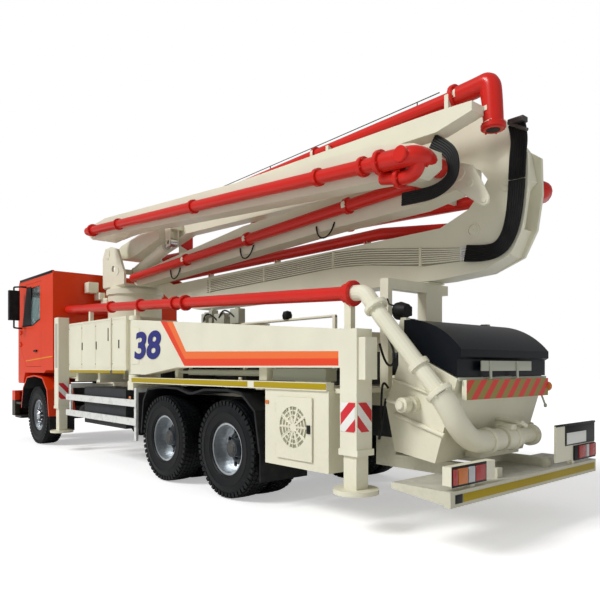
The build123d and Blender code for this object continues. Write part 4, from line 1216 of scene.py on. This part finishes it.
@dataclass
class Pipework:
    """Bulky elbows, flanges and lines of the booms, each on the section that carries it."""

    shop: Shop
    thick: float = 86.0

    def flange(self, maker: Maker, start: Point, end: Point, radius: float = 112.0) -> None:
        """Add a flange ring on the line from start to end.

        Args:
            maker: The piece that holds it.
            start: Middle of the ring.
            end: A further point on the line.
            radius: Its outer radius.
        """
        maker.aimed(start, end, [(-22, 60), (-22, radius - 6), (-16, radius), (16, radius), (22, radius - 6),
                                 (22, 60), (-22, 60)])
        way = (Vector(end) - Vector(start)).normalized()
        side = way.orthogonal().normalized()
        up = way.cross(side)
        for c, s in around(6):
            spot = Vector(start) + (side * c + up * s) * (radius - 16)
            maker.bar(tuple(spot - way * 34), tuple(spot + way * 34), 9, 6)

    def build(self) -> None:
        """Make the elbows and flanges."""
        self.outer_elbows()
        self.inner_elbows()
        self.outlet()

    def outer_elbows(self) -> None:
        """Make the elbows of sections 4 and 5, and a near-black disc as painted shade in the tip's open end.
        """
        four = self.shop.maker()
        four.line([(-1985, 960, 3219), (-2150, 960, 3207), (-2335, 950, 3196), (-2335, 800, 3198),
                   (-2262, 640, 3200)], self.thick, 16, 8)
        self.flange(four, (-1975, 960, 3220), (-1800, 960, 3233))
        self.flange(four, (-1770, 960, 3235), (-1600, 960, 3248), 92)
        self.flange(four, (4150, 960, 3681), (3900, 960, 3662), 100)
        four.line([(-2340, 900, 3190), (-2330, 900, 3100), (-2240, 890, 3050), (-2150, 885, 3062)], 62, 14, 8)
        self.flange(four, (-2120, 884, 3068), (-2000, 884, 3090), 88)
        four.aimed((-2110, 884, 3070), (-1930, 884, 3106), [(0, 0), (0, 56), (185, 56), (185, 0)])
        four.disc((-2250, 1040, 3205), Axis.Y, 70, 40, 8, 24)
        four.done("elbow_four", Finishes.RED, "boom_4")
        tip = self.shop.maker()
        tip.line([(-2330, 345, 3853), (-2540, 345, 3862), (-2662, 345, 3878), (-2682, 345, 3735),
                  (-2692, 345, 3470)], self.thick, 16, 8)
        self.flange(tip, (-2320, 345, 3853), (-2000, 345, 3846))
        self.flange(tip, (-2690, 345, 3480), (-2684, 345, 3600), 104)
        tip.disc((-2690, 345, 3457), Axis.Z, 92, 12, 0.0, 28)
        tip.done("elbow_tip", Finishes.RED, "boom_5")
        # Painted shade: a near-black disc just inside the tip's open end stands for the dark bore of the
        # pipe.
        bore = self.shop.maker()
        bore.disc((-2690, 345, 3452), Axis.Z, 58, 8, 0.0, 28)
        bore.done("tip_bore", Finishes.HOSE, "boom_5")

    def inner_elbows(self) -> None:
        """Make the elbows of sections 3 and 1."""
        three = self.shop.maker()
        three.line([(-1900, 345, 3185), (-2060, 345, 3192), (-2235, 350, 3199), (-2252, 440, 3200),
                    (-2250, 560, 3200)], self.thick, 16, 8)
        self.flange(three, (-1890, 345, 3185), (-1700, 345, 3177), 106)
        three.done("elbow_three", Finishes.RED, "boom_3")
        one = self.shop.maker()
        one.line([(-2330, -500, 3122), (-2500, -500, 3112), (-2672, -505, 3108), (-2672, -590, 3110),
                  (-2600, -690, 3110)], self.thick, 16, 8)
        self.flange(one, (-2320, -500, 3122), (-2000, -500, 3136))
        one.done("elbow_one", Finishes.RED, "boom_1")

    def outlet(self) -> None:
        """Make the flanges of the fixed line and the elbow behind the hopper."""
        fixed = self.shop.maker()
        self.flange(fixed, (-1690, 1010, 2101), (-1500, 1010, 2110), 118)
        self.flange(fixed, (1180, 1010, 2247), (1300, 1010, 2253), 100)
        self.flange(fixed, (2380, 1010, 2308), (2500, 1010, 2314), 92)
        fixed.done("line_flanges", Finishes.RED, "chassis")
        elbow = self.shop.maker()
        elbow.line([(-2620, 160, 800), (-2620, 420, 800), (-2618, 590, 830), (-2600, 740, 960),
                    (-2575, 830, 1120), (-2520, 876, 1226)], 98, 20, 8)
        elbow.disc((-2620, 20, 800), Axis.Y, 104, 150, 10, 28)
        elbow.block((-2700, -40, 880), (-2540, 60, 930), 10.0)
        elbow.bar((-2760, -60, 930), (-2480, -60, 960), 16)
        elbow.bar((-2755, -90, 915), (-2755, -20, 945), 20)
        elbow.block((-2560, -330, 640), (-2400, 330, 700), 8.0)
        elbow.done("outlet_elbow", Finishes.CREAM, "chassis")
        outlet = self.shop.maker()
        self.flange(outlet, (-1960, 1006, 1960), (-1990, 1004, 1920), 108)
        self.flange(outlet, (-2520, 876, 1226), (-2560, 866, 1176), 116)
        self.flange(outlet, (-2620, 330, 800), (-2620, 200, 800), 116)
        self.flange(outlet, (-2620, -60, 800), (-2620, -200, 800), 116)
        outlet.done("outlet_flanges", Finishes.CREAM, "chassis")


@dataclass
class Hydraulics:
    """Hoses, thin lines, link plates and pins of the booms; a pin is named by its X and Z."""

    shop: Shop
    root: Flat = (4780.0, 3430.0)
    foot: Flat = (4400.0, 3100.0)
    slew_x: float = 4560.0
    neck_pin: Flat = (-2600.0, 3110.0)
    rear_pin: Flat = (-2250.0, 3200.0)
    front_pin: Flat = (4400.0, 3700.0)

    def build(self) -> None:
        """Make the lines of each section."""
        self.neck()
        self.fan_lines_and_shadow()
        self.ring()
        self.links()
        self.wires()

    def neck(self) -> None:
        """Make the hoses round the goose neck, split where section 2 leaves section 1."""
        low = self.shop.maker()
        low.bundle([(-2190, -20, 2519), (-2400, -20, 2480), (-2590, -20, 2530), (-2690, -20, 2790),
                    (-2705, -20, 3099)], 14, 7, 22)
        low.done("hoses_neck", Finishes.HOSE, "boom_2")
        high = self.shop.maker()
        high.bundle([(-2705, -20, 3112), (-2712, -20, 3300), (-2735, -20, 3480),
                     (-2700, -20, 3610)], 14, 7, 22)
        high.done("hoses_head", Finishes.HOSE, "boom_1")
        knot = self.shop.maker()
        knot.block((-2790, -60, 3590), (-2640, 30, 3640), 8.0)
        knot.bar((-2660, 10, 3600), (-2820, 10, 3500), 16)
        knot.done("hose_clip_head", Finishes.STEEL, "boom_1")
        ends = self.shop.maker()
        for k in range(6):
            ends.bar((-2210, -30, 2465 + 22 * k), (-2130, -30, 2468 + 22 * k), 10, 8)
        ends.block((-2136, -52, 2452), (-2122, -22, 2590), 3.0)
        ends.done("hose_fittings", Finishes.ALLOY, "boom_2")

    def fan_lines_and_shadow(self) -> None:
        """Make the fan of thin lines on section 2, an olive sheet behind it as painted shadow, and its clips.
        """
        fan = self.shop.maker()
        for k in range(7):
            rise = 25 * k
            fan.line([(-2130, -38, 2468 + 17 * k), (-1700, -38, 2478 + rise), (-900, -38, 2590 + rise),
                      (-400, -38, 2620 + rise), (600, -38, 2600 + rise), (2300, -38, 2580 + rise)], 8.0, 6, 6)
        fan.done("lines_fan", Finishes.LINES, "boom_2")
        # Painted shadow: this olive sheet behind the lines stands for the shade behind and between them, so
        # the cream lines show against it.
        back = self.shop.maker()
        back.plate([(-2130, 2455), (-1700, 2460), (-900, 2572), (-400, 2603), (600, 2583), (2300, 2562),
                    (2300, 2748), (600, 2770), (-400, 2788), (-900, 2758), (-1700, 2646),
                    (-2130, 2585)], -50, -47)
        back.done("line_tray", Finishes.MESH, "boom_2")
        clips = self.shop.maker()
        for x, z in ((-1650, 2560), (-400, 2695), (900, 2675), (2200, 2655)):
            clips.block((x - 14, -50, z - 95), (x + 14, -27, z + 95), 3.0)
        clips.done("line_clips", Finishes.CREAM, "boom_2")

    def ring(self) -> None:
        """Make the hoses that bend round the hinge of sections 3 and 4."""
        ring = self.shop.maker()
        ring.bundle([(-1880, 545, 2995), (-2060, 545, 2985), (-2260, 545, 2985), (-2420, 545, 3060),
                     (-2440, 545, 3190), (-2390, 545, 3330), (-2220, 545, 3440)], 13, 6, 20)
        ring.done("hoses_ring", Finishes.HOSE, "boom_3")

    def links(self) -> None:
        """Make the link plates and the pins of the rear hinges."""
        link = self.shop.maker()
        link.plate([(-2080, 3330), (-2110, 3365), (-2165, 3365), (-2200, 3310), (-2400, 3040), (-2405, 2990),
                    (-2370, 2970), (-2330, 2985), (-2110, 3220), (-2075, 3280)], -46, -18, soft=6.0)
        for x, z, radius in ((-2135, 3299, 34), (-2359, 3021, 26), (-2222, 3154, 24)):
            link.disc((x, -16, z), Axis.Y, radius, 18, 4)
        link.done("link_plate", Finishes.CREAM, "boom_2")
        pins = self.shop.maker()
        pins.ring((-2255, -46, 2733), Axis.Y, 66, 50, 18)
        pins.disc((-2255, -47, 2733), Axis.Y, 48, 14)
        pins.disc((-2255, -40, 2733), Axis.Y, 8, 14)
        pins.disc((self.neck_pin[0], -46, self.neck_pin[1]), Axis.Y, 84, 16)
        pins.disc((self.neck_pin[0], -38, self.neck_pin[1]), Axis.Y, 40, 14)
        pins.done("neck_pins", Finishes.CREAM, "boom_2")
        outer = self.shop.maker()
        outer.plate([(-2120, 3330), (-2302, 3292), (-2440, 3236), (-2470, 3190), (-2606, 2920), (-2596, 2864),
                     (-2540, 2846), (-2250, 3068), (-2120, 3120)], 241, 268, soft=8.0)
        for x, z, radius in ((-2300, 3195, 70), (-2420, 3080, 34), (-2556, 2898, 24)):
            outer.disc((x, 270, z), Axis.Y, radius, 16, 4)
        outer.done("outer_link", Finishes.CREAM, "boom_3")
        cheek = self.shop.maker()
        cheek.ring((self.rear_pin[0], 472, self.rear_pin[1]), Axis.Y, 130, 84, 10)
        for x, z in ((-2174, 3318), (-2320, 3140), (-2200, 3100)):
            cheek.disc((x, 474, z), Axis.Y, 20, 14)
        cheek.done("cheek_bolts", Finishes.CREAM, "boom_3")
        head = self.shop.maker()
        for x, z in (self.front_pin, self.rear_pin):
            head.disc((x, 866, z), Axis.Y, 96, 14)
        head.done("pin_caps", Finishes.CREAM, "boom_4")
        root = self.shop.maker()
        for s in (1, -1):
            root.disc((self.root[0], s * 424, self.root[1]), Axis.Y, 92, 12)
            root.disc((self.foot[0], s * 424, self.foot[1]), Axis.Y, 74, 12)
            for a, b in around(6):
                root.disc((self.root[0] + 76 * a, s * 431, self.root[1] + 76 * b), Axis.Y, 7, 10, 2, 6)
        for a, b in around(24):
            root.disc((self.slew_x + 404 * a, 404 * b, 2854), Axis.Z, 14, 16, 3, 6)
        root.done("turret_pins", Finishes.CREAM, "turret")

    def wires(self) -> None:
        """Make the thin lines that follow the sections, and small hose loops."""
        above = self.shop.maker()
        above.line([(4150, 345, 3810), (1500, 345, 3870), (-1200, 345, 3930), (-2150, 345, 3955)], 5, 6, 8)
        for x, z in ((3000, 3735), (300, 3796), (-1900, 3846)):
            above.bar((x, 345, z), (x, 345, z + 105), 6, 6)
        above.done("tip_wire", Finishes.STEEL, "boom_5")
        side = self.shop.maker()
        for k in range(3):
            rise = 30 * k
            side.line([(4100, 866, 3700 + rise), (900, 866, 3440 + rise), (-1900, 866, 3235 + rise)], 7, 6, 8)
        side.done("lines_four", Finishes.CREAM, "boom_4")
        loops = self.shop.maker()
        for x, z in ((-565, 2985), (900, 2955), (2720, 2890)):
            loops.line([(x + 150, 250, z + 60), (x + 130, 262, z - 40), (x + 20, 266, z - 110),
                        (x - 110, 262, z - 50), (x - 140, 250, z + 60)], 9, 8, 6)
        loops.done("hose_loops", Finishes.HOSE, "boom_3")


@dataclass
class RearGear:
    """Fittings of the hopper, the deck, the cooler door and small side pieces."""

    shop: Shop
    fan: Flat = (-1140.0, 867.0)
    fan_y: float = 1249.0

    def build(self) -> None:
        """Make the fittings."""
        self.hopper()
        self.arm_gear()
        self.valve_gear()
        self.grille()
        self.small_pieces()

    def hopper(self) -> None:
        """Make the plate on the lid, the work lamp, the paddle's motor, its hoses and the tub's edges."""
        window = self.shop.maker()
        window.block((-2652, -391, 1402), (-2641, 464, 1490), 3.0)
        for y in (330, -120):
            window.block((-2664, y - 16, 1335), (-2652, y + 16, 1490), 3.0)
        window.done("lid_plate", Finishes.GREY, "hopper_lid")
        lamp = self.shop.maker()
        lamp.turned([(-60, 0), (-58, 60), (10, 84), (60, 78), (66, 0)], (-1975, 660, 1945), Axis.X, 24)
        lamp.block((-2000, 640, 1872), (-1950, 680, 1890), 4.0)
        lamp.block((-2010, 560, 1900), (-1940, 600, 1990), 8.0)
        lamp.line([(-1640, 500, 2180), (-1690, 520, 2060), (-1800, 620, 2010), (-1930, 650, 1990)], 8, 8, 6)
        lamp.done("work_lamp", Finishes.HOSE, "chassis")
        motor = self.shop.maker()
        motor.disc((-2160, 880, 1110), Axis.Y, 66, 90, 8, 28)
        motor.disc((-2160, 935, 1110), Axis.Y, 40, 30, 5, 24)
        motor.bar((-2110, 900, 1120), (-1965, 900, 1150), 14)
        motor.done("paddle_motor", Finishes.CREAM, "chassis")
        hoses = self.shop.maker()
        hoses.line([(-1960, 960, 1640), (-2040, 985, 1460), (-2140, 985, 1440), (-2120, 960, 1620),
                    (-1990, 930, 1740)], 10, 8, 6)
        hoses.line([(-1985, 905, 1160), (-1975, 930, 1010), (-1965, 950, 900), (-1930, 930, 800)], 12, 8, 6)
        hoses.line([(-1990, 880, 1250), (-1980, 930, 1330), (-1970, 950, 1200), (-1960, 940, 960)], 10, 8, 6)
        hoses.done("hopper_hoses", Finishes.HOSE, "chassis")
        rim = self.shop.maker()
        rim.block((-2622, -744, 1318), (-2602, 744, 1350), 6.0)
        rim.bar((-2640, -600, 1180), (-2672, -618, 1075), 9)
        rim.disc((-2673, -619, 1070), Axis.X, 18, 20)
        rim.done("hopper_rim", Finishes.GREY, "chassis")
        ledge = self.shop.maker()
        for s in (1, -1):
            edge = [(-1945, 1336), (-2420, 1200), (-2420, 1178), (-1945, 1312)]
            ledge.plate(edge, s * 738, s * 772, soft=4.0)
            ledge.bar((-1955, s * 748, 1014), (-2480, s * 748, 862), 22, 12)
        ledge.done("tub_ledges", Finishes.CREAM, "chassis")

    def arm_gear(self) -> None:
        """Make the swing cylinders of the rear arms, held still, and their feet."""
        rams = self.shop.maker()
        for s in (1, -1):
            rams.bar((-480, s * 1060, 1372), (1000, s * 1060, 1372), 34, 20)
            rams.bar((1000, s * 1060, 1372), (1260, s * 1060, 1372), 20, 16)
            rams.block((-1420, s * 940, 1298), (-640, s * 1090, 1424), 8.0)
        rams.done("arm_cylinders", Finishes.GREY, "chassis")
        feet = self.shop.maker()
        for s in (1, -1):
            feet.block((-600, s * 1000, 1296), (-470, s * 1130, 1436), 8.0)
            feet.block((1220, s * 1020, 1296), (1290, s * 1100, 1420), 6.0)
        feet.done("arm_cylinder_feet", Finishes.CREAM, "chassis")

    def valve_gear(self) -> None:
        """Make the rail, the valve blocks and their hoses on the deck."""
        rail = self.shop.maker()
        rail.bar((-880, 400, 1985), (2060, 400, 1985), 16, 12)
        for x in (-860, 740, 2040):
            rail.block((x - 20, 380, 1395), (x + 20, 420, 1990), 4.0)
        rail.done("valve_rail", Finishes.CREAM, "chassis")
        valves = self.shop.maker()
        for low, high, top in ((810, 1000, 2190), (1130, 1370, 2150), (1420, 1500, 2210), (1570, 1680, 2170)):
            valves.block((low, 345, 1996), (high, 455, top), 8.0)
            valves.disc(((low + high) / 2, 400, top + 8), Axis.Z, 34, 24)
        valves.bar((1010, 380, 2100), (1590, 380, 2120), 14)
        valves.done("valve_blocks", Finishes.GREY, "chassis")
        links = self.shop.maker()
        links.line([(900, 450, 2080), (1000, 480, 2170), (1150, 480, 2180), (1250, 450, 2090)], 11, 8, 6)
        links.line([(1300, 450, 2060), (1380, 490, 2150), (1560, 490, 2150), (1620, 450, 2060)], 11, 8, 6)
        links.turned([(0, 0), (0, 52), (40, 60), (86, 46), (98, 0)], (-78, 400, 1998), Axis.Z, 24)
        links.done("valve_hoses", Finishes.HOSE, "chassis")

    def grille(self) -> None:
        """Make the mesh and the spokes of the cooler door."""
        mesh = self.shop.maker()
        mesh.disc((self.fan[0], 1238.5, self.fan[1]), Axis.Y, 194, 3, 0.0, 40)
        mesh.done("grille_mesh", Finishes.MESH, "cooler_door")
        spokes = self.shop.maker()
        for a, b in around(12):
            ends = [(self.fan[0] + reach * a, self.fan_y, self.fan[1] + reach * b) for reach in (40, 192)]
            spokes.bar(*ends, 4, 6)
        spokes.done("grille_spokes", Finishes.CREAM, "cooler_door")

    def small_pieces(self) -> None:
        """Make the side lamps, the box on the pedestal, the cooler's latch and its grip."""
        lens = self.shop.maker()
        lens.disc((-2638, -722, 1250), Axis.Y, 46, 44, 10, 24)
        for s in (1, -1):
            lens.block((-760, s * 1229, 1070), (-706, s * 1238, 1106), 4.0)
            lens.block((2200, s * 1250, 1000), (2254, s * 1257, 1036), 4.0)
        lens.done("side_lamps", Finishes.LENS_ORANGE, "chassis")
        box = self.shop.maker()
        box.block((4975, 500, 2760), (5160, 690, 2950), 10.0)
        box.block((4880, 420, 2640), (5120, 520, 2762), 6.0)
        box.block((4700, 380, 2560), (4960, 470, 2660), 6.0)
        box.done("pedestal_box", Finishes.CREAM, "chassis")
        latch = self.shop.maker()
        latch.block((-1385, 1250, 820), (-1340, 1262, 900), 5.0)
        latch.bar((-1362, 1262, 840), (-1362, 1262, 885), 7)
        latch.done("cooler_latch", Finishes.BLACK, "cooler_door")
        grip = self.shop.maker()
        grip.line([(-1600, 960, 700), (-1650, 960, 705), (-1660, 960, 780), (-1650, 960, 855),
                   (-1600, 960, 860)], 9, 8, 6)
        grip.done("cooler_grip", Finishes.STEEL, "chassis")


@dataclass
class Studio:
    """Floor, lights, sky and the camera of the photograph."""

    camera_at: Point = (-5430.0, 5034.0, 1437.3)
    yaw: float = 0.71
    focal: float = 604.06
    middle: Flat = (285.0, 366.88)
    picture: float = 600.0
    sensor: float = 36.0
    ambient: float = 0.37
    gloss_loss: float = 0.09
    floor_tone: float = 0.86
    floor_glow: float = 0.42

    def build(self) -> None:
        """Make everything around the truck."""
        self.camera()
        self.sky()
        self.floor()
        self.lamps()

    def camera(self) -> None:
        """Set the camera level, with the photograph's framing as its shift."""
        data = bpy.data.cameras.new("camera")
        data.sensor_width = self.sensor
        data.lens = self.focal / self.picture * self.sensor
        data.shift_x = (self.picture / 2 - self.middle[0]) / self.picture
        data.shift_y = (self.middle[1] - self.picture / 2) / self.picture
        data.clip_end = 200.0
        eye = bpy.data.objects.new("camera", data)
        bpy.context.scene.collection.objects.link(eye)
        eye.location = row(self.camera_at)
        way = Vector((math.cos(self.yaw), -math.sin(self.yaw), 0.0))
        eye.rotation_euler = way.to_track_quat("-Z", "Y").to_euler()
        bpy.context.scene.camera = eye

    def sky(self) -> None:
        """Light the scene softly and show white behind it."""
        world = bpy.data.worlds.new("sky")
        bpy.context.scene.world = world
        world.use_nodes = True
        tree = world.node_tree
        tree.nodes.clear()
        rays = tree.nodes.new("ShaderNodeLightPath")
        seen = Shade(tree, rays.outputs["Is Camera Ray"])
        gloss = Shade(tree, rays.outputs["Is Glossy Ray"])
        through = Shade(tree, rays.outputs["Is Transmission Ray"])
        direct = (seen + through).math("MINIMUM", 1.0) * (1.0 - self.ambient)
        shown = direct - gloss * self.gloss_loss + self.ambient
        back = tree.nodes.new("ShaderNodeBackground")
        back.inputs[0].default_value = (1.0, 1.0, 1.0, 1.0)
        tree.links.new(shown.socket, back.inputs[1])
        out = tree.nodes.new("ShaderNodeOutputWorld")
        tree.links.new(back.outputs[0], out.inputs[0])

    def floor(self) -> None:
        """Lay a pale floor that takes the shadow."""
        mesh = bmesh.new()
        bmesh.ops.create_grid(mesh, x_segments=1, y_segments=1, size=60.0)
        data = bpy.data.meshes.new("floor")
        mesh.to_mesh(data)
        mesh.free()
        piece = bpy.data.objects.new("floor", data)
        piece.location = (0.0, 0.0, -0.002)
        bpy.context.scene.collection.objects.link(piece)
        box = Paintbox("pale_floor")
        box.put(Base_Color=(*[self.floor_tone] * 3, 1.0), Roughness=0.8)
        box.put(Emission_Color=(1.0, 1.0, 1.0, 1.0), Emission_Strength=0.0)
        rays = box.tree.nodes.new("ShaderNodeLightPath")
        glow = box.tree.nodes.new("ShaderNodeEmission")
        glow.inputs[0].default_value = (1.0, 1.0, 1.0, 1.0)
        seen = Shade(box.tree, rays.outputs["Is Camera Ray"])
        box.tree.links.new((seen * self.floor_glow).socket, glow.inputs[1])
        both = box.tree.nodes.new("ShaderNodeAddShader")
        box.tree.links.new(box.surface.outputs[0], both.inputs[0])
        box.tree.links.new(glow.outputs[0], both.inputs[1])
        out = next(n for n in box.tree.nodes if n.type == "OUTPUT_MATERIAL")
        box.tree.links.new(both.outputs[0], out.inputs[0])
        data.materials.append(box.material)

    def lamps(self) -> None:
        """Hang a soft key from behind the camera and a weaker fill."""
        for name, power, spread, way in (
            ("key", 2.2, 0.35, (-0.22, -0.80, -0.72)),
            ("fill", 0.06, 0.9, (0.8, -0.1, -0.6)),
        ):
            data = bpy.data.lights.new(name, "SUN")
            data.energy = power
            data.angle = spread
            lamp = bpy.data.objects.new(name, data)
            lamp.rotation_euler = Vector(way).to_track_quat("-Z", "Y").to_euler()
            bpy.context.scene.collection.objects.link(lamp)


def main(frame: dict) -> None:
    """Build and dress the truck.

    Args:
        frame: The loaded frame.
    """
    logging.basicConfig(level=logging.INFO, format="%(message)s")
    bpy.context.scene.view_settings.view_transform = "Standard"
    Studio().build()
    shop = Shop(frame)
    for kind in (Bodywork, Wheels, Signs, CabTrim, Pipework, Hydraulics, RearGear):
        kind(shop).build()
        LOG.info("built %s", kind.__name__)


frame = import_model()

if __name__ == "__main__":
    main(frame)
